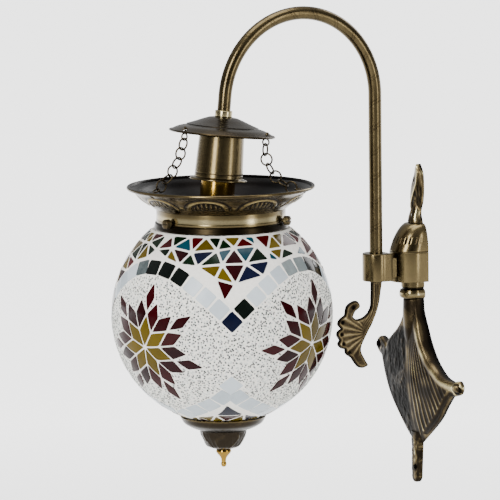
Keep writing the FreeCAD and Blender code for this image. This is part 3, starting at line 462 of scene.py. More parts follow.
def make_materials():
    """Every finish by its slot or piece name."""
    made = {}
    olive_gold = [(0.08, "#0f0c08"), (0.35, "#352c1d"), (0.6, "#6c5f42"), (0.9, "#c8bb92")]
    # olive-gold metal with brown shade in its pores: the canopy, cover, tube and dome
    made["antique_brass"] = aged_metal("antique_brass_lacquered", olive_gold, 0.14, 0.32, 0.14)
    # the same metal with fine rings from the lathe
    made["turned_brass"] = aged_metal("antique_brass_turned", olive_gold, 0.16, 0.32, 0.12, 0.42, "turned")
    # nearly black castings whose high spots are rubbed back to gold: leaf, plate, scroll, cap
    made["dark_antique_brass"] = aged_metal("dark_antique_brass_cast", [(0.10, "#0c0a08"), (0.46, "#2a2319"),
                                            (0.70, "#6e6044"), (0.98, "#dccf9e")], 0.22, 0.58, 0.22, 0.60)
    # dark bronze of the dish's bowl and the bottom cap
    made["bronze_dark"] = aged_metal("bronze_dark_lacquered", [(0.1, "#0d0b0a"), (0.45, "#2e2820"),
                                     (0.7, "#6b5c3c"), (0.95, "#cdbd88")], 0.16, 0.34, 0.2, 0.6, "turned")
    # yellow polished metal: the finial, holder and shade ring
    made["bright_brass"] = aged_metal("polished_brass",
                                      [(0.1, "#3c2b0c"), (0.45, "#8f6f2c"), (0.7, "#b4934a"),
                                      (0.95, "#e6cf8e")], 0.12, 0.24, 0.2)
    # grey plated screws and nuts
    made["steel_screw"] = plain_finish("zinc_plated_steel", ("#8d8f90", "#a9abab"), 0.28, 2.0, 0.02,
                                       Metallic=1.0)
    # ivory moulded connector
    made["terminal_nylon"] = plain_finish("terminal_nylon_moulded", ("#d8d5c9", "#e4e1d6"), 0.45)
    # brown-black wire cover
    made["lead_pvc"] = plain_finish("lead_pvc_matt", ("#1c1814", "#2a241e"), 0.55)
    # white glazed insulator
    made["ceramic_white"] = plain_finish("ceramic_glazed", ("#dedad0", "#ece9e0"), 0.12)
    # clear glass with a white lining that hides the bulb
    made["clear_glass"] = plain_finish("globe_glass_lined", ("#dfe4e2", "#eceeec"), 0.06, 12.0, 0.02, IOR=1.5)
    # soft black washer
    made["rubber_black"] = plain_finish("rubber_matt", ("#0d0d0d", "#171717"), 0.7)
    # satin white bulb
    made["bulb_frosted"] = plain_finish("bulb_glass_frosted", ("#eeeeea", "#f7f7f4"), 0.35)
    # bright nickel screw cap
    made["nickel_cap"] = plain_finish("nickel_plated", ("#a9a69c", "#bcb9b0"), 0.2, 3.0, 0.02, Metallic=1.0)
    # chalky white filler between the tiles
    made["mosaic_grout"] = plain_finish("grout_chalk_white", ("#e9e5dc", "#f4f1ea"), 0.75, 2.5, 0.12)
    # the nine glasses of the mosaic, glossy and deep
    made["tiles_maroon"] = tile_glass("tile_glass_maroon", "#160002", "#2f0004")
    made["tiles_olive"] = tile_glass("tile_glass_olive", "#3f3200", "#5f4e00")
    made["tiles_navy"] = tile_glass("tile_glass_navy", "#020514", "#080e28")
    made["tiles_green"] = tile_glass("tile_glass_green", "#010a03", "#041c08")
    made["tiles_teal"] = tile_glass("tile_glass_teal", "#05252f", "#114453")
    made["tiles_red"] = tile_glass("tile_glass_red", "#280002", "#470004")
    made["tiles_black"] = tile_glass("tile_glass_smoke_black", "#030605", "#0b110e")
    made["tiles_pale"] = tile_glass("tile_glass_pale_grey", "#a6b0b7", "#c4cdd3")
    made["tiles_smoke"] = tile_glass("tile_glass_smoke_grey", "#3a4243", "#7c8586")
    made["seed_beads"] = seed_bead_glass()
    return made


def seed_bead_glass():
    """Milky seed beads: glossy white, shaded dark down in each bead's hole."""
    material, tree, shader = new_material("seed_bead_milk_glass", Roughness=0.18, IOR=1.5)
    tone = add(tree, "ShaderNodeAttribute", attribute_name="tone").outputs["Fac"]
    tree.links.new(ramp(tree, math_of(tree, "ADD", tone, 1.0),
                        [(0.25, "#060607"), (0.75, "#c2c5c1"), (1.0, "#eceee9")]),
                   shader.inputs["Base Color"])
    return material


finishes = make_materials()


# ---------------------------------------------------------------- settings shown in the panel
class LampCastingSettings(bpy.types.PropertyGroup):
    """Sizes of the cast bracket's relief."""
    grain: FloatProperty(name="Mesh spacing", description="Spacing of the castings' mesh", default=0.00072,
                         unit="LENGTH")
    rib_height: FloatProperty(name="Rib height", description="Height of the leaf's ribs", default=0.0007,
                              unit="LENGTH")
    rib_pitch: FloatProperty(name="Rib pitch", description="Angle between two ribs of the fan", default=3.1)
    leaf_thick: FloatProperty(name="Leaf thickness", description="Thickness of the top leaf",
                              default=0.0046, unit="LENGTH")


class LampMetalSettings(bpy.types.PropertyGroup):
    """Sizes of the spun and turned metal's relief."""
    cartouches: IntProperty(name="Cartouches", description="Embossed cartouches round the dish", default=9)
    emboss: FloatProperty(name="Emboss height", description="Height of the embossed pattern",
                          default=0.0008, unit="LENGTH")
    knurls: IntProperty(name="Knurls", description="Ridges round a thumbscrew's head", default=28)


class LampMosaicSettings(bpy.types.PropertyGroup):
    """Layout of the mosaic."""
    petals: IntProperty(name="Petals", description="Yellow petals in a flower", default=7)
    flower_latitude: FloatProperty(name="Flower latitude",
                                   description="Degrees of a flower's centre above the equator",
                                   default=-11.8)
    grout_gap: FloatProperty(name="Grout gap", description="Width of the lines between tiles", default=0.0013,
                             unit="LENGTH")
    square: FloatProperty(name="Square tile", description="Side of the band's square tiles", default=0.0116,
                          unit="LENGTH")
    bead_pitch: FloatProperty(name="Bead pitch", description="Distance between two seed beads",
                              default=0.0021,
                              unit="LENGTH")


class LampStageSettings(bpy.types.PropertyGroup):
    """The studio round the lamp."""
    azimuth: FloatProperty(name="Azimuth", description="Camera's angle round the lamp, degrees", default=60.0)
    elevation: FloatProperty(name="Elevation", description="Camera's angle above the horizon, degrees",
                             default=7.3)
    roll: FloatProperty(name="Roll", description="Camera's turn about its own line of sight, degrees",
                        default=0.6)
    distance: FloatProperty(name="Distance", description="Camera's distance", default=4.5, unit="LENGTH")
    lens: FloatProperty(name="Lens", description="Focal length in millimetres", default=432.0)


# ---------------------------------------------------------------- castings of the bracket
def on_wall(points, height):
    """(x, z) points standing height off the wall."""
    return np.column_stack([points[:, 0], -height, points[:, 1]])


def ring_path(x, z, radius, count=40):
    """A circle of points."""
    turn = np.linspace(0, 2 * math.pi, count, endpoint=False)
    return np.column_stack([x + radius * np.cos(turn), z + radius * np.sin(turn)])


def screw_holes():
    """The wall screws' heights and hole radius, from the mount."""
    mount = next(m for m in frame["record"]["mounts"] if m["name"] == "wall_screws")
    return mount["dims"]["spacing_y_mm"] / 2, mount["dims"]["hole_r_mm"]


class LAMP_OT_plate(bpy.types.Operator):
    """Build the fan-shaped leaf plate with its ribs, rolled hooks and tail"""
    bl_idname = "lamp.plate"
    bl_label = "Fan plate"

    def execute(self, context):
        s = context.scene.lamp_castings
        low, high = corners_mm("wall_plate")
        top, bottom = high[2], low[2]
        near_up = smooth_path([(8.3, top), (9.5, 10), (15, -2), (21, -14), (30, -26), (43, -36),
                               (55, -39.3)], 12)
        near_hook = smooth_path([(55, -39.3), (62, -37.4), (65.6, -41.5), (63, -47.2), (52, -50.5)], 8)
        near_low = smooth_path([(52, -50.5), (45, -58), (36, -68.5), (26, -77), (4.5, -93)], 12)
        tail = np.array([(4.5, bottom + 6)] + [(-1.5 + 6 * math.cos(a), bottom + 6 - 6 * math.sin(a))
                                               for a in np.linspace(0, math.pi, 14)] + [(-7.5, -93)])
        far_low = smooth_path([(-7.5, -93), (-13.5, -86), (-22.5, -74), (-34, -58.5), (-41, -44),
                               (-46, -30)], 10)
        far_hook = smooth_path([(-46, -30), (-54.5, -26.5), (-56.5, -20.5), (-50, -15.4), (-42, -18),
                                (-36, -21)], 8)
        far_up = smooth_path([(-36, -21), (-34, -16.5), (-25.5, -10.5), (-16, -3.5), (-10, 6), (-8.3, top)],
                             10)
        outline = np.vstack([near_up[:-1], near_hook[:-1], near_low[:-1], tail[:-1], far_low[:-1],
                             far_hook[:-1], far_up])
        screw_z, screw_r = screw_holes()
        points, triangles = filled(outline, [ring_path(0, -screw_z, screw_r)], s.grain / MM)
        x, z = points[:, 0], points[:, 1]

        crown = np.sqrt(np.maximum(255.0**2 - (x - 3) ** 2 - (z + 22) ** 2, 0)) - 244.5
        neck_r = np.interp(z, [-22, -6, 8, 20], [8.3, 9.1, 8.7, 8.3])
        neck_base = np.interp(z, [-30, -22, -6, 8, 20], [-9.0, 0.8, 2.5, 4, 4])
        neck = neck_base + np.sqrt(np.maximum(neck_r**2 - x**2, 0))
        strip = 4.0 - 0.04 * (x + 1.5) ** 2
        body = np.maximum(np.maximum(crown, 1.2), np.where(np.abs(x) < neck_r, neck, 0))
        body = np.where((z < -84) & (np.abs(x + 1.5) < 6.2), np.maximum(strip, crown), body)

        rim = path_distance(points, np.vstack([outline, outline[:1]]))
        upper, lower = path_distance(points, near_up[10:]), path_distance(points, near_low)
        far_edge = path_distance(points, np.vstack([far_low, far_hook, far_up]))
        fan = np.degrees(np.arctan2(x, 27 - z))
        reach = np.hypot(x, 27 - z)
        field = step(upper, 6.4, 9.0) * step(lower, 4.2, 5.6) * step(-z, 4, 16) * step(x, -3, 4)
        worn = 0.55 + 0.45 * blotches(fan * 2.2, reach, 16, 3)
        ribs = np.cos((fan + 0.5 * blotches(x, z, 12, 5)) / s.rib_pitch * 2 * math.pi) * 0.5 + 0.5
        ribs = ribs**5 * field * worn * step(reach, 24, 44)
        roll = np.sin(np.clip(upper / 7.6, 0, 1) * math.pi) ** 1.3 * step(-z, -6, 6) * (x > 0)
        border = bump(lower - 2.4, 2.8) * (z > -84)
        ridge = bump(lower - 5.2, 0.9) * (z > -84)
        left = step(-x, 1, 6) * step(far_edge, 1.5, 3.5) * step(-z, 0, 10)
        bark = (0.7 * blotches(fan * 0.9, reach * 0.4, 3.4, 7)
                + 0.5 * blotches(fan * 1.1, reach * 0.5, 1.7, 8)
                + 0.3 * blotches(x, z, 1.4, 9))
        tail_grain = step(-z, 84, 90) * (0.6 * blotches(x * 1.6, z * 0.6, 2.2, 12)
                                         + 0.5 * blotches(x, z, 1.3, 13))
        curl_near, curl_far = np.hypot(x - 60.3, z + 43.2), np.hypot(x + 50.6, z + 21.6)
        curls = 2.4 * bump(curl_near, 6.2) + 2.2 * bump(curl_far, 5.6)
        grooves = bump(curl_near - 3.4, 0.8) + bump(curl_far - 3.2, 0.8)
        rounding = 1.6 * (1 - np.sqrt(1 - (1 - np.clip(rim / 1.6, 0, 1)) ** 2))
        height = (body + s.rib_height / MM * ribs + 1.0 * roll - 0.5 * border + 0.2 * ridge
                  + 0.45 * bark * left
                  + 0.22 * tail_grain + curls - 0.7 * grooves - rounding)
        height = np.clip(height, 0.5, 12.7)
        # The left half, which turns away from the light, is darkened by 0.75 as painted shade; the bark
        # blotches on it are relief.
        tone = (ribs * 1.2 - 0.3 * field + roll * 0.4 - border * 0.5 + ridge * 0.15
                + left * (bark * 0.8 - 0.75)
                + tail_grain * 0.5 - grooves * 0.9 + 0.5 * bump(curl_near - 5.2, 1.1)
                + 0.6 * bump(curl_far - 4.8, 1.1)
                + 0.25 * blotches(x, z, 7, 15) * (1 - left))
        made = relief_solid("fan_plate", points, triangles, height, 0 * x, on_wall,
                            [tone, np.full(len(x), -1.0)])
        set_piece(made, finishes["dark_antique_brass"], "bracket", ["wall_plate"])
        return {"FINISHED"}


class LAMP_OT_leaf(bpy.types.Operator):
    """Build the folded leaf that hides the upper wall screw"""
    bl_idname = "lamp.leaf"
    bl_label = "Top leaf"

    def execute(self, context):
        s = context.scene.lamp_castings
        low, high = corners_mm("leaf_finial")
        base, tip = low[2], high[2]
        right = smooth_path([(7.6, base), (5.4, 86), (8.6, 95), (9.6, 105), (8.6, 116), (4.5, tip)], 10)
        left = smooth_path([(4.5, tip), (-2.2, 116), (-7.4, 105), (-8.8, 96), (-5.4, 86), (-7.6, base)], 10)
        outline = np.vstack([right[:-1], left])
        screw_z, screw_r = screw_holes()
        points, triangles = filled(outline, [ring_path(0, screw_z, screw_r)], s.grain / MM * 0.7)
        x, z = points[:, 0], points[:, 1]
        crease = np.interp(z, [84, 92, 100, 108, 116, tip], [-4.5, -4.0, -0.5, 4.2, 5.6, 4.5])
        half = np.where(x > crease, np.interp(z, [86, 95, 105, 116], [5.4, 8.6, 9.6, 8.6]) - crease,
                        crease - np.interp(z, [86, 96, 105, 116], [-5.4, -8.8, -7.4, -2.2]))
        fold = 1 - np.clip(np.abs(x - crease) / np.maximum(half, 1.5), 0, 1)
        thick = s.leaf_thick / MM
        blade = 1.5 + (thick - 1.5) * fold**0.8
        root_r = np.interp(z, [base, 84.5, 90.5, 96.5], [7.6, 5.8, 4.6, 3.4])
        root = np.sqrt(np.maximum(root_r**2 - x**2, 0)) * (z < 97)
        lobes = bump(np.abs(x) - 4.2, 2.0) * bump(z - 83, 6.5)
        gap = bump(x, 1.1) * step(-z, -96, -88)
        rim = path_distance(points, np.vstack([outline, outline[:1]]))
        rounding = 0.8 * (1 - np.sqrt(1 - (1 - np.clip(rim / 0.8, 0, 1)) ** 2))
        veins = blotches(x * 1.5, z * 0.5, 2.0, 21) * step(np.abs(x - crease), 0.8, 2.0)
        height = np.maximum(blade * step(z, 80, 90), root
                            + 0.4) + 0.6 * lobes - 1.0 * gap * (z < 96) + 0.12 * veins
        height = np.clip(height - rounding, 0.4, 8.0)
        # The bright line along the crease's ridge and the bright rim near the tip are painted highlights.
        tone = (0.9 * bump(x - crease, 1.1) * (z > 86) + 0.4 * bump(rim, 0.7) * step(z, 90, 96) + 0.05
                + 0.7 * lobes - 0.6 * gap * (z < 96) + 0.35 * veins)
        made = relief_solid("top_leaf", points, triangles, height, 0 * x, on_wall,
                            [tone, np.full(len(x), -1.0)])
        set_piece(made, finishes["dark_antique_brass"], "bracket", ["leaf_finial"])
        return {"FINISHED"}


class LAMP_OT_bracket(bpy.types.Operator):
    """Build the grooved bead, the boss with its collar, and the slotted dome"""
    bl_idname = "lamp.bracket"
    bl_label = "Bead, boss and dome"

    def execute(self, context):
        low, high = corners_mm("neck_bead")
        ring = [(low[2], 8.2), (low[2] + 0.2, 8.8), (low[2] + 1.2, 9.8), (low[2] + 2.6, 10.2),
                (low[2] + 3.6, 10.2),
                (low[2] + 4.6, 10.15), (low[2] + 5.8, 9.75), (low[2] + 6.6, 9.5), (low[2] + 6.9, 8.6),
                (low[2] + 7.3, 8.1),
                (low[2] + 8.4, 8.1), (low[2] + 8.8, 8.7), (high[2] - 0.3, 8.7), (high[2], 8.5)]
        heights = np.array([z for z, _ in ring])
        radii = np.array([r for _, r in ring])
        z = np.linspace(low[2], high[2], 54)
        sections = [(float(np.interp(h, heights, radii)), 5.2, float(h)) for h in z]

        def bead_tone(turn, at):
            bright = 0.45 * bump(np.array(at - low[2] - 3.6), 2.6) - 1.0 * bump(np.array(at - low[2] - 7.6),
                                                                                1.6)
            return 0 * turn, 0 * turn + float(bright)

        bead = d_solid("grooved_bead", sections, bead_tone)
        set_piece(bead, finishes["antique_brass"], "bracket", ["neck_bead"])

        boss_r, depth, soft = 15.3, 7.9, 0.8
        boss_low, boss_high = corners_mm("neck_bead")[1][2], corners_mm("dome_cap")[0][2] + 2.0
        bend = np.linspace(0, math.pi / 2, 5)
        z = np.append(boss_low + soft - soft * np.cos(bend), boss_high)
        radii = boss_r - soft + np.append(soft * np.sin(bend), soft)
        body = d_solid("boss_body", [(float(r), depth, float(h)) for r, h in zip(radii, z)],
                       lambda turn, at: (0 * turn, 0 * turn + 0.12))
        set_piece(body, finishes["antique_brass"], "bracket", ["bracket_boss"])

        foot, ledge = corners_mm("scroll_ornament")[1][2], corners_mm("arm_tube")[0][2]
        top, collar_r, edge = foot + 21.2, 10.5, 0.9
        bend = np.linspace(0, math.pi, 49)
        front = np.stack([-collar_r * np.cos(bend), -collar_r * np.sin(bend)], 1)
        behind = [(collar_r, 0.0), (collar_r, 8.8), (-collar_r, 8.8), (-collar_r, 0.0)]
        outline = spaced(np.vstack([front[:-1], rounded(behind, 1.2)[3:17]]), 0.8)
        bore = 5.05 * unit(outline)
        inward = unit(outline) * edge

        def level(shape, height):
            return np.column_stack([shape[:, 0], shape[:, 1] + arm_y, np.full(len(shape), height)])

        turns = (0.4, 0.8, 1.2, 1.57)
        rows = [level(outline * 0, foot), level(outline - inward, foot)]
        rows += [level(outline - inward * (1 - math.sin(t)), foot + edge - edge * math.cos(t)) for t in turns]
        rows += [level(outline - inward * (1 - math.sin(t)), top - edge + edge * math.cos(t))
                 for t in turns[::-1]]
        rows += [level(outline - inward, top), level(bore * 1.08, top), level(bore, top - 0.4),
                 level(bore, ledge),
                 level(outline * 0, ledge)]
        collar = grid_object("collar", np.array(rows), None, joined_rows=False)
        screw_low, screw_high = corners_mm("collar_set_screw")
        at = (screw_low + screw_high) / 2
        hole = lathe("cutter", [(0, -2.0), (1.55, -2.0), (1.55, 8.0), (0, 8.0)],
                     lambda p: np.stack([screw_high[0] - p[..., 2], p[..., 1] + at[1], p[..., 0] + at[2]],
                                        -1), None, 32,
                     False)
        set_piece(cut(collar, hole), finishes["antique_brass"], "bracket")

        bridge = rounded([(-5.0, foot + 1.1), (5.0, foot + 1.1), (5.0, foot + 17.1), (-5.0, foot + 17.1)],
                         0.8)
        lengths = np.array([arm_y + 8.0, arm_y + 8.0, -22.0, -22.0])
        sizes = np.array([0.0, 1.0, 1.0, 0.0])[:, None, None]
        flat = bridge.mean(0) + (bridge - bridge.mean(0))[None] * sizes
        rows = np.stack([flat[..., 0], np.broadcast_to(lengths[:, None], flat.shape[:2]), flat[..., 1]], -1)
        set_piece(grid_object("bridge", rows, None, joined_rows=False), finishes["antique_brass"], "bracket")

        low, high = corners_mm("dome_cap")
        foot, top = low[2] + 2.0, high[2]
        share = np.linspace(0, 1, 70)
        radius = 8.3 + 7.0 * np.sqrt(1 - share**2)
        base = 7.9 * (1 - share) ** 0.8 + 0.2
        height = foot + (top - foot) * share
        sections = [(14.6, 7.9, foot), (15.15, 7.9, foot + 0.25)]
        sections += [(r, b, h) for r, b, h in zip(radius, base, height) if h > foot + 0.5]

        def slots(turn, at):
            up = (at - foot) / (top - foot)
            across = np.cos(turn * math.pi * 2 * 15)
            mark = np.clip((across - 0.84) / 0.16, 0, 1) * float(bump(np.array(up - 0.44), 0.19) > 0.3)
            joint = float(bump(np.array(at - foot - 1.1), 0.45))
            mark = mark * (turn > 0.06) * (turn < 0.84)
            return -0.5 * mark - 0.25 * joint, -1.1 * mark - 0.7 * joint + 0.12

        dome = d_solid("slotted_dome", sections, slots)
        set_piece(dome, finishes["antique_brass"], "bracket", ["dome_cap"])
        return {"FINISHED"}


class LAMP_OT_scroll(bpy.types.Operator):
    """Build the flat scroll under the collar with its lines and dimples"""
    bl_idname = "lamp.scroll"
    bl_label = "Scroll"

    def execute(self, context):
        s = context.scene.lamp_castings
        top = corners_mm("scroll_ornament")[1][2]
        stem = [(-42.4, top), (-42.6, 24), (-43.2, 16), (-46, 11.2), (-50.5, 8.2), (-56, 7.4), (-58.8, 9.4)]
        curl = [(-58.8, 9.4), (-57, 13), (-52.9, 16), (-52.6, 18.5), (-55.4, 21.4), (-59.7, 21),
                (-64.4, 17.8),
                (-66.2, 11.2)]
        lobes = [[(-66.2, 11.2), (-70.6, 8.4), (-72.4, 4.6), (-69.6, 1.0)],
                 [(-69.6, 1.0), (-72.6, -0.8), (-73.2, -4), (-70.8, -7.6)],
                 [(-70.8, -7.6), (-72.4, -10.8), (-69.8, -13.8), (-66.3, -14.8)],
                 [(-66.3, -14.8), (-65.4, -18.6), (-61, -21.7)]]
        foot = [(-61, -21.7), (-57.4, -26.7), (-54.2, -29.7), (-49.6, -30.4), (-45.4, -28.7)]
        back = [(-45.4, -28.7), (-48.8, -23.3), (-51.8, -16.9), (-49.8, -10.2), (-42.3, 2.2), (-38, 10.8),
                (-35.2, 20),
                (-32.6, top)]
        runs = [smooth_path(run, 8) for run in [stem, curl] + lobes + [foot, back]]
        outline = np.vstack([run[:-1] for run in runs] + [runs[-1][-1:]])
        points, triangles = filled(outline, [], s.grain / MM * 0.75)
        y, z = points[:, 0], points[:, 1]
        rim = path_distance(points, np.vstack([outline, outline[:1]]))
        stem_line = smooth_path([(-38.5, top), (-39, 20), (-42, 9), (-48, 1), (-53, -8), (-56, -17),
                                 (-52, -26)], 10)
        from_stem = path_distance(points, stem_line)
        upper = step(z, -2, 8) * step(y, -52, -47)
        lines = np.cos(from_stem * 2 * math.pi / 1.7) * upper
        dimples = np.zeros(len(y))
        for at_y, at_z, size in ((-68.4, 6.0, 2.0), (-69.2, -3.4, 2.0), (-67.6, -10.6, 2.0),
                                 (-62.6, -17.4, 1.8),
                                 (-58.6, 16.6, 2.2)):
            dimples = np.maximum(dimples, bump(np.hypot(y - at_y, z - at_z), size))
        turn = np.degrees(np.arctan2(z + 4, y + 46))
        rays = (np.cos(np.radians(turn) * 22) * 0.5 + 0.5) ** 2 * step(rim, 1.2,
                                                                       2.5) * (1 - upper) * step(z, -24, -14)
        rays = rays * step(-y, 49, 53) * step(14 - z, 0, 5)
        edge = 1.2 * (1 - np.sqrt(1 - (1 - np.clip(rim / 1.2, 0, 1)) ** 2))
        height = np.clip(1.65 - edge + 0.12 * lines + 0.2 * rays - 0.9 * dimples, 0.35, 2.0)
        tone = 0.2 * lines + 0.4 * rays - 1.4 * dimples - 0.05 - 0.7 * bump(rim,
                                                                            1.1) + 0.2 * bump(rim - 1.9, 0.8)

        def upright(flat, half):
            return np.column_stack([half, flat[:, 0], flat[:, 1]])

        made = relief_solid("scroll", points, triangles, height, -height, upright, [tone, tone])
        set_piece(made, finishes["dark_antique_brass"], "bracket", ["scroll_ornament"])
        return {"FINISHED"}


# ---------------------------------------------------------------- tube and spun metal
class LAMP_OT_tube(bpy.types.Operator):
    """Build the gooseneck tube with its fine engraved spiral"""
    bl_idname = "lamp.tube"
    bl_label = "Gooseneck"

    def execute(self, context):
        tilt = math.asin(-head_down[1])
        bend_r = (arm_y - head_origin[1]) / (1 + math.cos(tilt))
        spring = head_origin[2] - bend_r * math.sin(tilt)
        foot = corners_mm("arm_tube")[0][2]
        outer, inner, engraved, lines = 5.0, 4.0, 0.08, 0.6
        tail = 29.3
        rise = np.arange(foot, spring, 0.8)
        sweep = np.arange(0, math.pi - tilt, 0.8 / bend_r)
        drop = np.append(np.arange(0, tail, 0.8), tail)
        straight_up = np.stack([np.full(len(rise), arm_y), rise, np.zeros(len(rise))], 1)
        over = np.stack([arm_y - bend_r + bend_r * np.cos(sweep), spring + bend_r * np.sin(sweep), sweep], 1)
        down = np.stack([head_origin[1] + drop * head_down[1], head_origin[2] + drop * head_down[2],
                         np.full(len(drop), math.pi - tilt)], 1)
        path = np.vstack([straight_up, over, down])
        along = np.concatenate([[0], np.cumsum(np.hypot(*np.diff(path[:, :2], axis=0).T))])
        turn = np.linspace(0, 2 * math.pi, 72, endpoint=False)[None]
        groove = np.zeros((len(path), 72))
        for shift in (0.0, 2.6):
            phase = ((along[:, None] + shift) / 19.0 * 2 * math.pi + turn) / 2
            groove = np.maximum(groove, bump(np.abs(np.sin(phase)) * 6.0, lines))
        radius = outer - engraved * groove
        rows = []
        for size in (radius, np.full(radius.shape, inner)[::-1]):
            walk = path if size is radius else path[::-1]
            out_y, out_z = np.cos(walk[:, 2:]), np.sin(walk[:, 2:])
            rows.append(np.stack([size * np.sin(turn), walk[:, :1] + size * np.cos(turn) * out_y,
                                  walk[:, 1:2] + size * np.cos(turn) * out_z], -1))
        tone = np.vstack([-0.3 * groove - 0.08, np.zeros(groove.shape)])
        made = grid_object("gooseneck_tube", np.vstack(rows), tone)
        set_piece(made, finishes["antique_brass"], "arm", ["arm_tube"])
        return {"FINISHED"}


def chain_angles():
    """Angles of the three thumbscrews and chains about the globe's axis, from the joints."""
    axes = [joint_named("thumbscrew_%d_travel" % n)["axis"] for n in (1, 2, 3)]
    return [math.atan2(a[1], a[0]) for a in axes]


def outward(angle):
    """Function that lays points drawn along +Z on a thumbscrew's axis: p = height + z out + x side + y up."""
    out = np.array([math.cos(angle), math.sin(angle), 0.0])
    side = np.array([-math.sin(angle), math.cos(angle), 0.0])
    height = np.array([0, 0, sum(corners_mm("thumbscrew_1"))[2] / 2])
    return lambda p: on_lamp(height + p[..., 2:] * out + p[..., :1] * side
                             + p[..., 1:2] * np.array([0, 0, 1.0]))


def peg(low, high, radius, place):
    """Plain cylinder used as a cutter."""
    return lathe("cutter", [(0, low), (radius, low), (radius, high), (0, high)], place, None, 40, False)


class LAMP_OT_canopy(bpy.types.Operator):
    """Build the end ring and the stepped canopy with its rolled edge and chain holes"""
    bl_idname = "lamp.canopy"
    bl_label = "Ring and canopy"

    def execute(self, context):
        ring = rounded([(5.0, -15.9), (6.5, -15.9), (6.5, -10.9), (5.0, -10.9)], 0.8, 5)

        def grooves(angle, r, z):
            band = bump(z + 13.4, 0.5) * (r > 6.0)
            return -0.3 * band, 0.6 - 1.4 * band

        made = lathe("end_ring_turned", ring, in_head, grooves, 96)
        set_piece(made, finishes["turned_brass"], "arm", ["end_ring"])

        top = [(5.05, -15.9), (9.4, -15.9), (14, -17.3), (20, -19.7), (26.2, -22.0), (26.8, -22.2),
               (27.6, -22.95),
               (33, -24.5), (39.0, -27.5)]
        top = smooth_path(top, 5)
        under = [(r, z - 1.0) for r, z in top[::-1]]
        lip_turn = np.linspace(math.radians(115), math.radians(-130), 16)
        lip = [(38.95 + 0.92 * math.cos(t), -28.0 + 0.9 * math.sin(t)) for t in lip_turn]
        upper = np.array([p for p in top if p[0] < 38.3])
        lower = np.array([p for p in under if p[0] < 38.3])
        profile = np.vstack([lower[::-1], np.array(lip)[::-1], upper[::-1]])

        def tone(angle, r, z):
            spin = 0.10 * np.sin(r * 5.2) + 0.1 * np.sin(r * 2.3 + 1.0) - 0.5
            brim = bump(r - 27.1, 0.9)
            under_side = np.arange(len(profile))[:, None] < len(lower)
            # The underside is darkened by 0.55 as painted shade, and the rolled lip is brightened by 0.25 as
            # a painted highlight.
            value = spin - 0.5 * brim + 0.25 * bump(r - 39.3, 1.2) - 0.55 * under_side
            return 0.035 * np.sin(r * 5.2) * (~under_side), value + 0 * angle

        made = lathe("canopy_spun", profile, in_head, tone, 200)
        holes = [peg(-60, 0, 2.0, lambda p,
                     a=a: in_head(p + np.array([36.0 * math.cos(a), 36.0 * math.sin(a), 0])))
                 for a in chain_angles()]
        set_piece(cut(made, *holes), finishes["turned_brass"], "arm", ["canopy"])
        return {"FINISHED"}


class LAMP_OT_holder(bpy.types.Operator):
    """Build the tapered holder cover"""
    bl_idname = "lamp.holder"
    bl_label = "Lamp holder"

    def execute(self, context):
        outer = [(18.2, -61.1), (21.1, -61.9), (21.5, -62.4), (21.5, -63.3), (17.3, -63.3), (15.6, -21.8),
                 (5.05, -21.8), (5.05, -20.9), (15.9, -20.9), (16.5, -21.4)]
        share = np.linspace(0, 1, 90)[:, None]
        skirt = np.array([16.5, -21.9]) * (1 - share) + np.array([18.15, -60.6]) * share
        profile = np.vstack([rounded(outer[:8], 0.25, 3), outer[8:9], [(16.3, -21.0)], skirt])[::-1]

        def lines(angle, r, z):
            on_skirt = step(z, -60.5, -60.0) * step(-z, 22, 22.5) * (r > 16.4)
            cut_lines = bump(z + 25.4, 0.35) + bump(z + 27.2, 0.35) + bump(z + 58.2, 0.4)
            fine = np.sin(z * 2 * math.pi / 1.15) * 0.5 + 0.5
            return on_skirt * (-0.16 * cut_lines - 0.02 * fine), on_skirt * (-0.8 * cut_lines
                                                                             - 0.16 * fine) + 0.12 + 0 * angle

        made = lathe("holder_cover_turned", profile, in_head, lines, 144)
        set_piece(made, finishes["turned_brass"], "arm", ["holder_cover"])
        return {"FINISHED"}


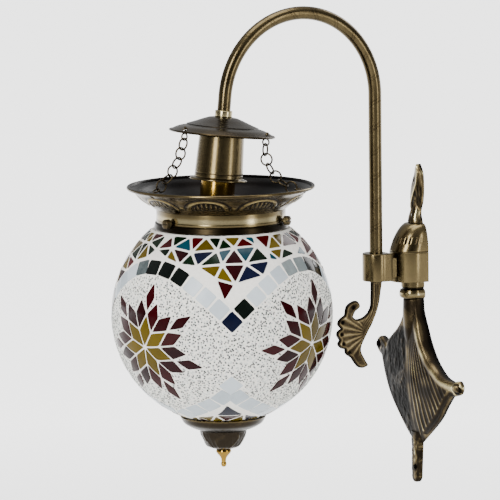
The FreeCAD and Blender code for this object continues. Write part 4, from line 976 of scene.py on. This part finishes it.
class LAMP_OT_dish(bpy.types.Operator):
    """Build the embossed gallery dish and the ring that grips the globe's neck"""
    bl_idname = "lamp.dish"
    bl_label = "Dish and ring"

    def execute(self, context):
        s = context.scene.lamp_metal
        low, high = corners_mm("gallery_dish")
        floor_z, rim_z = low[2], high[2] - 0.65
        under = smooth_path([(48.7, floor_z), (54.0, floor_z + 3.8), (60.0, floor_z + 8.0),
                             (64.0, floor_z + 12.1),
                             (68.6, rim_z - 1.7)], 14)
        turn = np.linspace(math.radians(-110), math.radians(165), 26)
        lip = np.column_stack([69.2 + 1.3 * np.cos(turn), rim_z - 0.65 + 1.3 * np.sin(turn)])
        above = np.array([(67.6, rim_z - 1.5)] + [(r - 0.35, z + 1.25) for r, z in under[::-1] if r < 67.0])
        seat = [(35.1, floor_z + 1.0), (29.6, 106.9), (27.0, 106.6), (22.4, 103.4), (17.8, 101.6),
                (17.8, 100.6),
                (22.4, 102.2), (27.0, 105.5), (28.5, 105.6), (34.5, floor_z), (40.0, floor_z)]
        bowl = rounded(seat, 0.25, 2)
        profile = np.vstack([under, lip, above, bowl[1:-1]])
        pitch = 2 * math.pi / s.cartouches

        def emboss(angle, r, z):
            order = np.arange(len(profile))[:, None]
            outside = order < len(under) + 3
            local = (np.mod(angle - chain_angles()[0] + pitch * 0.5, pitch) - pitch / 2) * 59.0
            up = z - floor_z - 8.4
            arch = np.hypot(local / 15.5, (up + 5.2) / 8.4)
            rim = bump(arch - 1.0, 0.13) * (up > -4.2)
            inner = (arch < 0.9) * (up > -4.2)
            flute = (np.cos(local * 2 * math.pi / 3.4) * 0.5 + 0.5) ** 1.5 * step(0.92 - arch, 0,
                                                                                  0.2) * step(up, -4.0, -2.6)
            gap = (np.mod(angle - chain_angles()[0], pitch) - pitch / 2) * 59.0
            lens = bump(np.hypot(gap / 4.6, (up + 2.2) / 1.7), 1.0)
            beads = bump(z - floor_z - 0.9, 0.7)
            height = (rim * 1.0 + flute * 0.75 * inner + lens * 0.8 - 0.25 * inner + 0.3 * beads) * outside
            tone = (rim * 0.35 + flute * 0.95 * inner - 0.55 * inner + lens * 0.4 + 0.12
                    + beads * 0.25) * outside
            tone = tone - 0.5 * bump(arch - 1.2, 0.1) * outside * (up > -4.2)
            dark_bowl = (order >= len(under) + 15) * -0.85
            # The brighter band on the rolled lip is a painted highlight.
            return s.emboss / MM * 0.7 * height, tone + dark_bowl + 0.35 * bump(z - rim_z, 0.9)

        made = lathe("gallery_dish_embossed", profile, on_lamp, emboss, 540)
        holes = [peg(rim_z - 12, rim_z + 6, 2.0, lambda p, a=a: on_lamp(p + np.array([66.3 * math.cos(a),
                                                                                    66.3 * math.sin(a), 0])))
                 for a in chain_angles()]
        set_piece(cut(made, *holes), finishes["bronze_dark"], "arm", ["gallery_dish"])

        low, high = corners_mm("fitter_ring")
        z0, z1, step_z = low[2], high[2], low[2] + 4.6
        outline = [(38.4, z1 - 1.2), (47.2, z1 - 1.2), (47.2, step_z), (49.2, z0), (50.4, z0),
                   (49.35, step_z),
                   (48.4, step_z + 0.6), (48.4, z1), (38.4, z1)]
        profile = spaced(rounded(outline, 0.3, 3), 0.45)

        def bands(angle, r, z):
            # The middle of the upper band is brightened as a painted highlight, and the flared foot below the
            # step is darkened by 0.75 as painted shade.
            outside = (r > 48.0) * 1.0
            band_highlight = bump(z - step_z - 4.6, 4.4)
            return 0.16 * bump(z - step_z - 1.9, 0.7) * outside, outside * (0.55 * band_highlight
                                                                            - 0.75 * (z < step_z
                                                                                      + 0.4)) + 0 * angle

        made = lathe("neck_ring_turned", profile, on_lamp, bands, 200)
        holes = [peg(40, 60, 1.55, outward(a)) for a in chain_angles()]
        set_piece(cut(made, *holes), finishes["turned_brass"], "arm", ["fitter_ring"])
        return {"FINISHED"}


class LAMP_OT_thumbscrews(bpy.types.Operator):
    """Build the three knurled and slotted thumbscrews"""
    bl_idname = "lamp.thumbscrews"
    bl_label = "Thumbscrews"

    def execute(self, context):
        s = context.scene.lamp_metal
        tip, head, end = 45.95, 50.0, 55.0
        shape = np.array([(0, tip), (1.3, tip), (1.5, tip + 0.3), (1.5, head - 0.2), (1.6, head), (3.0, head),
                          (3.45, head + 0.4), (3.5, head + 0.8), (3.5, end - 1.0), (3.3, end - 0.5),
                          (2.6, end - 0.15),
                          (1.2, end), (0, end)])
        profile = spaced(shape, 0.22, False)
        profile[0], profile[-1] = shape[0], shape[-1]

        def knurl(angle, r, z):
            rim = step(z, head + 0.5, head + 0.9) * step(end - z, 0.7, 1.1) * (r > 3.2)
            ridge = np.abs(np.sin(angle * s.knurls / 2))
            return -0.22 * rim * (1 - ridge), rim * (ridge * 1.2 - 0.8) + 0.1

        for number, a in enumerate(chain_angles(), 1):
            place = outward(a)
            made = lathe("thumbscrew_%d_knurled" % number, profile, place, knurl, 168, False)
            flat = ((-5, -0.45), (5, -0.45), (5, 0.45), (-5, 0.45))
            slot = np.array([(x, y, z) for z in (end - 1.2, end + 1) for x, y in flat])
            faces = [(0, 1, 2, 3), (4, 5, 6, 7), (0, 1, 5, 4), (1, 2, 6, 5), (2, 3, 7, 6), (3, 0, 4, 7)]
            cutter = make_object("cutter", place(slot), faces)
            name = "thumbscrew_%d" % number
            set_piece(cut(made, cutter), finishes["dark_antique_brass"], name, [name])
        return {"FINISHED"}


class LAMP_OT_cap(bpy.types.Operator):
    """Build the embossed bottom cap"""
    bl_idname = "lamp.cap"
    bl_label = "Bottom cap and finial"

    def execute(self, context):
        foot, rim_z = corners_mm("bottom_cap")[0][2], -56.6
        ball = globe_r + 0.03
        contact = [(r, globe_centre[2] - math.sqrt(ball**2 - r**2)) for r in np.linspace(30.9, 16.4, 14)]
        outer = smooth_path([(6.6, foot), (11.8, -79.4), (14.2, -76.4), (16.6, -71.5), (17.6, -67.6)], 12)
        brim = smooth_path([(17.6, -67.6), (18.6, -66.4), (23.4, -64.9), (29.3, -61.4), (32.2, rim_z)], 10)
        inner = np.array([(16.3, -67.6), (15.3, -71.5), (12.9, -76.1), (10.8, -78.1), (6.4, foot + 1.3),
                          (1.55, foot + 1.3), (1.55, foot)])
        profile = np.vstack([outer[:-1], brim, [(31.9, rim_z + 0.55)], contact, inner])

        def emboss(angle, r, z):
            order = np.arange(len(profile))[:, None]
            cup = (order < len(outer)) * step(z, foot + 0.8, foot + 2.5) * step(-67.2 - z, 0, 1.2)
            up = (z - foot) / (-67.6 - foot)
            veins = np.sin(angle * 4.5 + 0.9 * np.sin(up * 4.0 + 2 * np.cos(angle * 2)))
            leaves = bump(veins, 0.5) + 0.5 * bump(np.sin(angle * 9 + 1.4 * up), 0.35)
            lines = bump(z + 66.9, 0.5) + 0.8 * bump(z + 63.2, 0.35)
            outside = (order < len(outer) + len(brim)) * 1.0
            # The brighter line on the rim is a painted highlight.
            tone = cup * (0.1 * leaves - 0.08) - 0.3 * lines + 0.25 * bump(r - 32.2, 0.8)
            return cup * (0.4 * leaves - 0.1) - 0.15 * lines * outside, tone * outside - 0.1

        made = lathe("bottom_cap_embossed", profile, on_lamp, emboss, 260)
        set_piece(made, finishes["bronze_dark"], "arm", ["bottom_cap"])
        return {"FINISHED"}


# ---------------------------------------------------------------- mosaic
def direction(latitude, longitude):
    """Unit vectors from degrees of latitude and longitude about the globe's axis."""
    a, b = np.radians(latitude), np.radians(longitude)
    return np.stack([np.cos(a) * np.cos(b), np.cos(a) * np.sin(b), np.sin(a)], -1)


def from_centre(centre, rho, theta):
    """Unit vector rho degrees away from centre, towards theta degrees from up (clockwise seen from
    outside)."""
    up = unit(np.array([0, 0, 1.0]) - centre[2] * centre)
    right = np.cross(up, centre)
    r, t = math.radians(rho), math.radians(theta)
    return math.cos(r) * centre + math.sin(r) * (math.cos(t) * up + math.sin(t) * right)


def flower_tiles(longitude, latitude, petals, turn):
    """Corner directions of one flower's tiles: petals from the centre, pairs between their tips, single
    points outside them. Every tile is a rhomb whose corners are shared with its neighbours."""
    centre = direction(latitude, longitude)
    pitch = 360 / petals
    tiles = []
    for k in range(petals):
        at = turn + k * pitch
        inner, side = 9.6, pitch / 2
        tip, middle, second, last, shoulder = 18.0, 19.0, 26.0, 35.4, pitch / 7
        tiles.append(("olive", [centre, from_centre(centre, inner, at + side), from_centre(centre, tip, at),
                                from_centre(centre, inner, at - side)]))
        for hand in (1, -1):
            tiles.append(("maroon",
                          [from_centre(centre, inner, at + hand * side), from_centre(centre, tip, at),
                                     from_centre(centre, second, at + hand * pitch / 4),
                                     from_centre(centre, middle, at + hand * side)][::hand]))
        tiles.append(("maroon",
                      [from_centre(centre, tip + 0.4, at), from_centre(centre, second + 0.8, at + shoulder),
                                 from_centre(centre, last, at),
                       from_centre(centre, second + 0.8, at - shoulder)]))
    return tiles


FLOWERS = (-74.8, 25.5, 112.2, 198.7)  # longitudes of the four flowers
FLOWER_TURN = 8.0  # degrees by which a petal leans from upright


def band_places(side_mm, left, right):
    """Square tiles along the band between two flowers' middles: the band's centre line runs from its crest
    over the left flower down to the dip and up to the crest over the right one. With share from -1 to 1,
    latitude = 3.2 + 27.2 sin(90 degrees min(1.06 |share|, 1))^0.93."""
    share = np.linspace(-1, 1, 801)
    latitude = 3.2 + 27.2 * np.sin(np.minimum(np.abs(share) * 1.06, 1.0) * math.pi / 2) ** 0.93
    line = direction(latitude, (left + right) / 2 + share * (right - left) / 2)
    run = np.concatenate([[0], np.cumsum(np.linalg.norm(np.diff(line, axis=0), axis=1))]) * globe_r
    middle = run[400]
    half = max(1, int(round(middle / side_mm)))
    stops = np.concatenate([middle - middle / half * np.arange(half, 0, -1), [middle],
                            middle + (run[-1] - middle) / half * np.arange(1, half)])
    at = unit(np.stack([np.interp(stops, run, line[:, k]) for k in range(3)], 1))
    ahead = unit(np.stack([np.interp(stops + 0.5, run, line[:, k]) for k in range(3)], 1)
                 - np.stack([np.interp(stops - 0.5, run, line[:, k]) for k in range(3)], 1))
    return at, ahead, half, line


def square_at(at, ahead, side_mm):
    """Corner directions of a square tile centred at a direction with two sides along ahead."""
    across = np.cross(at, ahead)
    h = side_mm / 2 / globe_r
    return [unit(at + h * (sa * ahead + sb * across)) for sa, sb in ((-1, -1), (1, -1), (1, 1), (-1, 1))]


def tile_mesh(corner_dirs, gap_mm, flat, lean):
    """One tile's points and faces: the corners drawn on the plane that touches the sphere at their middle,
    drawn in by half the gap, rounded, and raised in rings: foot, edge, bevelled top, inner ring and
    centre."""
    corner_dirs = np.array(corner_dirs)
    normal = unit(corner_dirs.mean(0))
    first = unit(np.cross([0, 0, 1.0], normal) + 1e-6)
    second = np.cross(normal, first)
    along_normal = (corner_dirs @ normal)[:, None]
    flat_points = np.stack([corner_dirs @ first, corner_dirs @ second], 1) / along_normal * globe_r
    if np.cross(flat_points[1] - flat_points[0], flat_points[2] - flat_points[1]) < 0:
        flat_points = flat_points[::-1]
    sides = unit(np.roll(flat_points, -1, 0) - flat_points)
    inward = np.stack([-sides[:, 1], sides[:, 0]], 1)
    before = np.roll(inward, 1, 0)
    share = 1 + (before * inward).sum(1, keepdims=True)
    corners = flat_points + (before + inward) * (gap_mm / 2) / np.maximum(share, 0.12)
    outline = spaced(rounded(corners, 0.55, 2), 1.9)
    middle = outline.mean(0)
    size = np.abs(outline - middle).max()

    def ring(shape, depth):
        across = shape[:, :1] * first + shape[:, 1:] * second
        if flat:
            stand = globe_r - depth - 0.12 - (size**2 + (shape**2).sum(1)) / (4 * globe_r) + shape @ lean
            return normal * stand[:, None] + across
        return unit(normal * globe_r + across) * (globe_r - depth)

    inset = middle + (outline - middle) * (1 - 0.34 / max(size, 1))
    rings = [ring(outline, 1.5), ring(outline, 0.42), ring(inset, 0.14),
             ring(middle + (outline - middle) * 0.5, 0.13)]
    count = len(outline)
    vertices = np.vstack(rings + [ring(middle[None], 0.13), ring(middle[None], 1.5)])
    k = np.arange(count)
    after = (k + 1) % count
    faces = []
    for level in range(3):
        faces.append(np.stack([level * count + k, level * count + after, (level + 1) * count + after,
                               (level + 1) * count + k], 1).tolist())
    faces.append(np.stack([3 * count + k, 3 * count + after, np.full(count, 4 * count)], 1).tolist())
    faces.append(np.stack([after, k, np.full(count, 4 * count + 1)], 1).tolist())
    return vertices + globe_centre, [f for group in faces for f in group]


def edge_of(lines, shift):
    """Function that gives the latitude of the lines at any longitude, moved by shift degrees."""
    points = np.vstack(lines)
    longitude = np.degrees(np.arctan2(points[:, 1], points[:, 0]))
    latitude = np.degrees(np.arcsin(points[:, 2]))
    return lambda at: np.interp(at, longitude, latitude, period=360) + shift


def row_triangles(latitudes, count, limit, random):
    """Triangle tiles in rows: neighbouring rows share their jittered corners, so every tile meets the next
    one. limit(latitude, longitude) draws corners back to the edge of the tiles' field; small and thin ones
    are dropped."""
    rows = []
    for number, latitude in enumerate(latitudes):
        spots = (np.arange(count) + 0.5 * (number % 2) + random.uniform(-0.3, 0.3, count)) * 360 / count
        rows.append((limit(latitude + random.uniform(-2.2, 2.2, count) * (number > 0), spots), spots))
    tiles = []
    for number, ((low_lat, low_lon), (high_lat, high_lon)) in enumerate(zip(rows, rows[1:])):
        lows = direction(low_lat, low_lon)
        highs = direction(high_lat, high_lon)
        after = (np.arange(count) + (number % 2)) % count
        tiles += list(np.stack([lows, np.roll(lows, -1, 0), highs[after]], 1))
        tiles += list(np.stack([highs[after], highs[(after + 1) % count], np.roll(lows, -1, 0)], 1))
    kept = []
    for tile in tiles:
        longest = np.linalg.norm(np.roll(tile, -1, 0) - tile, axis=1).max()
        height = np.linalg.norm(np.cross(tile[1] - tile[0], tile[2] - tile[0])) / longest
        if height > 5.2 / globe_r and height > 0.42 * longest:
            kept.append(tile)
    return kept


class LAMP_OT_mosaic(bpy.types.Operator):
    """Build the grout, every glass tile and the seed beads of the globe"""
    bl_idname = "lamp.mosaic"
    bl_label = "Mosaic globe"

    def execute(self, context):
        s = context.scene.lamp_mosaic
        gap, square, pitch = s.grout_gap / MM, s.square / MM, s.bead_pitch / MM
        random = np.random.default_rng(11)
        tiles = []
        for longitude in FLOWERS:
            tiles += [(c, t, False) for c,
                      t in flower_tiles(longitude, s.flower_latitude, s.petals, FLOWER_TURN)]
        ends = list(FLOWERS) + [FLOWERS[0] + 360]
        band_lines = []
        order = ["black", "black", "black", "pale", "pale", "pale", "navy", "black", "pale", "pale", "pale",
                 "smoke"]
        for left, right in zip(ends, ends[1:]):
            at, ahead, half, line = band_places(square + gap * 0.8, left, right)
            band_lines.append(line)
            for number, (spot, way) in enumerate(zip(at, ahead), -half):
                if number == 0:
                    way = unit(way + np.cross(spot, way))
                colour = order[min(max(number + 6, 0), len(order) - 1)]
                if number == -half and left != FLOWERS[0]:
                    colour = "smoke"
                tiles.append((colour, square_at(spot, way, square + gap), True))
        band = np.vstack(band_lines)
        low_lines = []
        for left, right in zip(ends, ends[1:]):
            middle, reach = (left + right) / 2, (right - left) / 2
            top = direction(-33.0, middle)
            way = unit(np.cross(top, [0, 0, 1.0]) + np.array([0, 0, 1.0]))
            side = 1.12 * square + gap
            tiles.append(("pale", square_at(top, unit(way - top * (way @ top)), side), True))
            for hand in (-1, 1):
                offset = np.linspace(5.4, reach, 300)
                line = direction(-32.4 - 28.0 * np.sqrt(offset / reach), middle + hand * offset)
                run = np.concatenate([[0],
                                      np.cumsum(np.linalg.norm(np.diff(line, axis=0), axis=1))]) * globe_r
                for at in np.arange(0, run[-1] - square * 0.4, side):
                    spot, beyond = (unit([np.interp(d, run, line[:, k]) for k in range(3)])
                                    for d in (at, at + 0.6))
                    way = unit(beyond - spot * (beyond @ spot))
                    tiles.append(("pale", square_at(spot, way, side), True))
                low_lines.append(line)
        low_spots = np.vstack(low_lines)

        top_lat = math.degrees(math.asin((globe_high[2] - globe_centre[2]) / globe_r)) - 0.4
        above = edge_of(band_lines, 5.8)
        upper = row_triangles([top_lat, 42.0, 33.0, 24.0, 15.0, 7.0], 26,
                              lambda lat, lon: np.maximum(lat, above(lon)), random)
        bottom_lat = -math.degrees(math.acos((MOSAIC_END_R + 1.5) / globe_r))
        under = edge_of(low_lines, -5.6)
        lower = row_triangles([bottom_lat, -58.0, -48.0, -38.0], 16,
                              lambda lat, lon: np.minimum(lat, under(lon)), random)
        palette = ["olive", "red", "navy", "green", "teal", "olive", "maroon", "green", "red", "olive"]
        for group, names in ((upper, palette), (lower, ["olive", "maroon", "navy", "olive"])):
            for corners in group:
                tiles.append((names[random.integers(len(names))], corners, True))

        made = {}
        outlines = []
        for colour, corners, flat in tiles:
            lean = random.uniform(-0.012, 0.012, 2)
            vertices, faces = tile_mesh(corners, gap * (1.5 if len(corners) == 3 else 1), flat, lean)
            store = made.setdefault(colour, ([], [], []))
            start = sum(len(v) for v in store[0])
            store[0].append(vertices)
            store[1].extend([[i + start for i in f] for f in faces])
            store[2].append(np.full(len(vertices), random.uniform(-1, 1)))
            outlines.append(np.array(corners))
        for colour, (vertices, faces, tones) in made.items():
            piece = make_object("tiles_" + colour, np.vstack(vertices), faces, np.concatenate(tones), None,
                                30.0)
            set_piece(piece, finishes["tiles_" + colour], "arm")

        grout = self.grout_shell()
        set_piece(grout, finishes["mosaic_grout"], "arm", ["mosaic_skin"])
        self.beads(outlines, band, low_spots, pitch, random)
        return {"FINISHED"}

    def grout_shell(self):
        """Closed shell a little below the tiles' tops, from the neck ring's foot to the bottom cap."""
        outer, inner = globe_r - 0.72, globe_r - 2.8 + 0.02
        top = math.asin((globe_high[2] - globe_centre[2]) / outer)
        low = -math.acos(MOSAIC_END_R / outer)
        lat = np.linspace(low, top, 120)
        back = np.linspace(math.asin((globe_high[2] - globe_centre[2]) / inner),
                           -math.acos(MOSAIC_END_R / inner), 60)
        profile = [(outer * math.cos(a), outer * math.sin(a)) for a in lat]
        profile += [(inner * math.cos(a), inner * math.sin(a)) for a in back]

        def uneven(angle, r, z):
            wave = np.sin(angle * 17 + z * 0.31) * np.sin(z * 0.53 + 2.0 * np.sin(angle * 5))
            return 0.08 * wave * (np.arange(len(profile))[:, None] < len(lat)), 0 * wave

        return lathe("grout", profile, lambda p: p + globe_centre, uneven, 240)

    def beads(self, outlines, band, low_spots, pitch, random):
        """Seed beads on every part of the field that holds no tile: spots of a Fibonacci lattice, each kept
        where it is outside every tile's great-circle sides. A bead is a six-sided ring with a sunk middle."""
        count = int(4 * math.pi * globe_r**2 / (0.9 * pitch**2))
        k = np.arange(count) + 0.5
        z = 1 - 2 * k / count
        turn = k * math.pi * (3 - math.sqrt(5))
        spots = np.stack([np.sqrt(1 - z**2) * np.cos(turn), np.sqrt(1 - z**2) * np.sin(turn), z], 1)
        spots = unit(spots + random.normal(0, 0.28 * pitch / globe_r, spots.shape))
        keep = np.ones(count, bool)
        margin = 0.42 / globe_r
        for corners in outlines:
            normals = unit(np.cross(corners, np.roll(corners, -1, 0)))
            middle = unit(corners.mean(0))
            normals *= np.sign(normals @ middle)[:, None]
            near = spots @ middle > math.cos(0.3)
            within = (spots[near] @ normals.T > -margin).all(1)
            keep[np.flatnonzero(near)[within]] = False
        nearest = band[np.argmax(spots @ band.T, 1)]
        keep &= ~((spots[:, 2] > nearest[:, 2] - 0.02) & (spots[:, 2] > -0.05))
        low_near = low_spots[np.argmax(spots @ low_spots.T, 1)]
        limit = -math.acos((MOSAIC_END_R + 3.5) / globe_r)
        keep &= spots[:, 2] > math.sin(limit)
        off_low = np.arccos(np.clip((spots * low_near).sum(1), -1, 1))
        under = (spots[:, 2] < low_near[:, 2]) & (off_low < math.radians(16))
        keep &= ~(under & (spots[:, 2] < -0.5))
        spots = spots[keep]
        middles = np.mod(np.degrees(np.arctan2(spots[:, 1], spots[:, 0])) - FLOWERS[0], 360)
        quarter = np.searchsorted(np.array(FLOWERS[1:]) - FLOWERS[0], middles)
        for number in range(4):
            chosen = spots[quarter == number]
            size = random.uniform(0.78, 1.0, len(chosen)) * pitch * 0.47
            dark = np.where(random.uniform(0, 1, len(chosen)) < 0.62, random.uniform(0.7, 1, len(chosen)),
                            0.15)
            self.bead_piece("seed_beads_%d" % (number + 1), chosen, size, dark, random)

    def bead_piece(self, name, spots, size, dark, random):
        """One object of beads: rings at (radius, height) shares of the bead's size round each spot's own
        axes."""
        first = unit(np.cross(spots, [0, 0, 1.0]))
        second = np.cross(spots, first)
        start = random.uniform(0, 2 * math.pi, len(spots))
        sides = 6
        turn = start[:, None] + np.arange(sides)[None] * 2 * math.pi / sides
        around = np.cos(turn)[..., None] * first[:, None] + np.sin(turn)[..., None] * second[:, None]
        rings, tones = [], []
        for radius, height, shade in ((1.0, -0.25, -0.15), (0.92, 0.35, 0.0), (0.62, 0.60, -0.85)):
            level = globe_r - 0.78 + height * size
            rings.append(spots[:, None] * level[:, None, None] + around * (radius * size)[:, None, None])
            tones.append(np.broadcast_to((shade * dark)[:, None], (len(spots), sides)))
        for height, shade in ((0.15, -1.2), (-0.25, 0.0)):
            level = globe_r - 0.78 + height * size
            rings.append(spots[:, None] * level[:, None, None])
            tones.append((shade * (0.2 + 0.8 * dark))[:, None])
        vertices = np.concatenate(rings, 1)
        tone = np.concatenate(tones, 1)
        k = np.arange(sides)
        after = (k + 1) % sides
        quads = np.concatenate([np.stack([lv * sides + k, lv * sides + after, (lv + 1) * sides + after,
                                          (lv + 1) * sides + k], 1) for lv in (0, 1)])
        pits = np.stack([2 * sides + k, 2 * sides + after, np.full(sides, 3 * sides)], 1)
        base = np.stack([after, k, np.full(sides, 3 * sides + 1)], 1)
        shift = (np.arange(len(spots)) * vertices.shape[1])[:, None, None]
        faces = (quads + shift).reshape(-1, 4).tolist()
        faces += (np.concatenate([pits, base]) + shift).reshape(-1, 3).tolist()
        piece = make_object(name, vertices.reshape(-1, 3) + globe_centre, faces, tone, None, 80.0)
        set_piece(piece, finishes["seed_beads"], "arm")


# ---------------------------------------------------------------- remaining parts and the studio
class LAMP_OT_plain_parts(bpy.types.Operator):
    """Give every CAD node that is still shown the finish of its slot"""
    bl_idname = "lamp.plain_parts"
    bl_label = "Plain parts"

    def execute(self, context):
        for entry in frame["record"]["subparts"]:
            node = frame["nodes"][entry["node"]]
            node.data.materials.clear()
            node.data.materials.append(finishes[entry["material_slot"]])
        return {"FINISHED"}


def soft_box(name, place, aim, size, power, colour="#ffffff"):
    """Rectangular studio light that faces a point."""
    data = bpy.data.lights.new(name, "AREA")
    data.shape, data.size, data.size_y = "RECTANGLE", size[0], size[1]
    data.energy, data.color = power, linear(colour)[:3]
    made = bpy.data.objects.new(name, data)
    made.location = place
    made.rotation_mode = "QUATERNION"
    made.rotation_quaternion = (Vector(aim) - Vector(place)).to_track_quat("-Z", "Y")
    bpy.context.scene.collection.objects.link(made)
    return made


class LAMP_OT_stage(bpy.types.Operator):
    """Build the pale sweep, the soft lights and the camera"""
    bl_idname = "lamp.stage"
    bl_label = "Studio"

    def execute(self, context):
        s = context.scene.lamp_stage
        a, e = math.radians(s.azimuth), math.radians(s.elevation)
        back = Vector((math.sin(a) * math.cos(e), -math.cos(a) * math.cos(e), math.sin(e)))
        aim = Vector((0.0, -0.148, 0.067))
        right = Vector((math.cos(a), math.sin(a), 0))
        toward = Vector((back.x, back.y, 0)).normalized()

        flat = bpy.data.meshes.new("floor")
        side = 30.0
        flat.from_pydata([(-side, -side, -0.42), (side, -side, -0.42), (side, side, -0.42),
                          (-side, side, -0.42)],
                         [], [(0, 1, 2, 3)])
        floor = bpy.data.objects.new("floor", flat)
        context.scene.collection.objects.link(floor)
        # matt pale paper that lifts the lamp's underside
        paper = plain_finish("paper_pale", ("#ececea", "#f0f0ee"), 0.9, 900.0, 0.0)
        shader = next(n for n in paper.node_tree.nodes if n.type == "BSDF_PRINCIPLED")
        shader.inputs["Emission Color"].default_value = linear("#ffffff")
        # the sheet glows beyond the lamp, like a backdrop lit from behind
        beyond = add(paper.node_tree, "ShaderNodeVectorMath",
                     {0: add(paper.node_tree, "ShaderNodeTexCoord").outputs["Object"], 1: -toward},
                     operation="DOT_PRODUCT").outputs["Value"]
        glow = add(paper.node_tree, "ShaderNodeMapRange", {"Value": beyond, "From Min": 0.2, "From Max": 2.2,
                                                           "To Min": 0.25, "To Max": 2.6}, clamp=True)
        paper.node_tree.links.new(glow.outputs["Result"], shader.inputs["Emission Strength"])
        floor.data.materials.append(paper)

        centre = Vector((0.0, -0.15, 0.05))
        lights = [
            soft_box("key", centre + toward * 1.8 - right * 0.95 + Vector((0, 0, 0.9)), centre, (0.5, 1.8),
                     60),
            soft_box("fill", centre + toward * 1.2 + right * 1.7 + Vector((0, 0, 0.2)), centre, (0.35, 1.6),
                     16),
            soft_box("top", centre + Vector((0, 0, 1.8)), centre, (1.4, 1.4), 34),
            soft_box("rim", centre - toward * 1.3 + right * 1.1 + Vector((0, 0, 0.8)), centre, (0.5, 1.2),
                     12),
        ]

        world = bpy.data.worlds.new("studio")
        world.use_nodes = True
        tree = world.node_tree
        tree.nodes.clear()
        # what the metal mirrors: dim striped walls in front, a bright wall behind and a pale ceiling
        way = add(tree, "ShaderNodeSeparateXYZ",
                  {"Vector": add(tree, "ShaderNodeTexCoord").outputs["Generated"]})
        turn = math_of(tree, "ARCTAN2", way.outputs["Y"], way.outputs["X"])
        stripes = math_of(tree, "SINE", math_of(tree, "MULTIPLY_ADD", turn, 5.0, 0.9), 0.0)
        behind = math_of(tree, "COSINE", math_of(tree, "SUBTRACT", turn, math.atan2(-back.y, -back.x)), 0.0)
        walls = math_of(tree, "ADD", math_of(tree, "MULTIPLY_ADD", stripes, 0.10, 0.30),
                        math_of(tree, "MULTIPLY", behind, 0.22))
        ceiling = add(tree, "ShaderNodeMapRange",
                      {"Value": way.outputs["Z"], "From Min": 0.3, "From Max": 0.9,
                                                   "To Min": 0.0, "To Max": 0.5}).outputs["Result"]
        light = math_of(tree, "MAXIMUM", math_of(tree, "ADD", walls, ceiling), 0.03)
        ground = add(tree, "ShaderNodeBackground", {"Color": linear("#ffffff"), "Strength": light})
        out = add(tree, "ShaderNodeOutputWorld")
        tree.links.new(ground.outputs["Background"], out.inputs["Surface"])
        context.scene.world = world

        camera = bpy.data.objects.new("camera", bpy.data.cameras.new("camera"))
        context.scene.collection.objects.link(camera)
        camera.data.lens, camera.data.sensor_width = s.lens, 36.0
        camera.data.clip_start, camera.data.clip_end = 0.1, 100.0
        camera.location = aim + back * s.distance
        camera.rotation_mode = "QUATERNION"
        level = (-back).to_track_quat("-Z", "Y")
        camera.rotation_quaternion = level @ Quaternion((0, 0, 1), math.radians(-s.roll))
        context.scene.camera = camera
        return {"FINISHED"}


OPERATORS = (LAMP_OT_plate, LAMP_OT_leaf, LAMP_OT_bracket, LAMP_OT_scroll, LAMP_OT_tube, LAMP_OT_canopy,
             LAMP_OT_holder, LAMP_OT_dish, LAMP_OT_thumbscrews, LAMP_OT_cap, LAMP_OT_mosaic,
             LAMP_OT_plain_parts,
             LAMP_OT_stage)
GROUPS = (("lamp_castings", LampCastingSettings), ("lamp_metal", LampMetalSettings),
          ("lamp_mosaic", LampMosaicSettings),
          ("lamp_stage", LampStageSettings))


class LAMP_PT_panel(bpy.types.Panel):
    """Sidebar panel with every size and build step"""
    bl_idname = "LAMP_PT_panel"
    bl_label = "Mosaic wall lamp"
    bl_space_type = "VIEW_3D"
    bl_region_type = "UI"
    bl_category = "Lamp"

    def draw(self, context):
        for name, group in GROUPS:
            box = self.layout.box()
            for key in group.__annotations__:
                box.prop(getattr(context.scene, name), key)
        for operator in OPERATORS:
            self.layout.operator(operator.bl_idname)


def register():
    """Registers the settings, operators and panel."""
    for name, group in GROUPS:
        bpy.utils.register_class(group)
        setattr(bpy.types.Scene, name, PointerProperty(type=group))
    for cls in OPERATORS + (LAMP_PT_panel,):
        bpy.utils.register_class(cls)


def unregister():
    """Removes everything that register added."""
    for cls in (LAMP_PT_panel,) + OPERATORS[::-1]:
        bpy.utils.unregister_class(cls)
    for name, group in GROUPS[::-1]:
        delattr(bpy.types.Scene, name)
        bpy.utils.unregister_class(group)


def main():
    """Registers the operators and builds every piece, the plain parts' finishes and the studio."""
    register()
    bpy.ops.lamp.plate()
    bpy.ops.lamp.leaf()
    bpy.ops.lamp.bracket()
    bpy.ops.lamp.scroll()
    bpy.ops.lamp.tube()
    bpy.ops.lamp.canopy()
    bpy.ops.lamp.holder()
    bpy.ops.lamp.dish()
    bpy.ops.lamp.thumbscrews()
    bpy.ops.lamp.cap()
    bpy.ops.lamp.mosaic()
    bpy.ops.lamp.plain_parts()
    bpy.ops.lamp.stage()


if __name__ == "__main__":
    main()
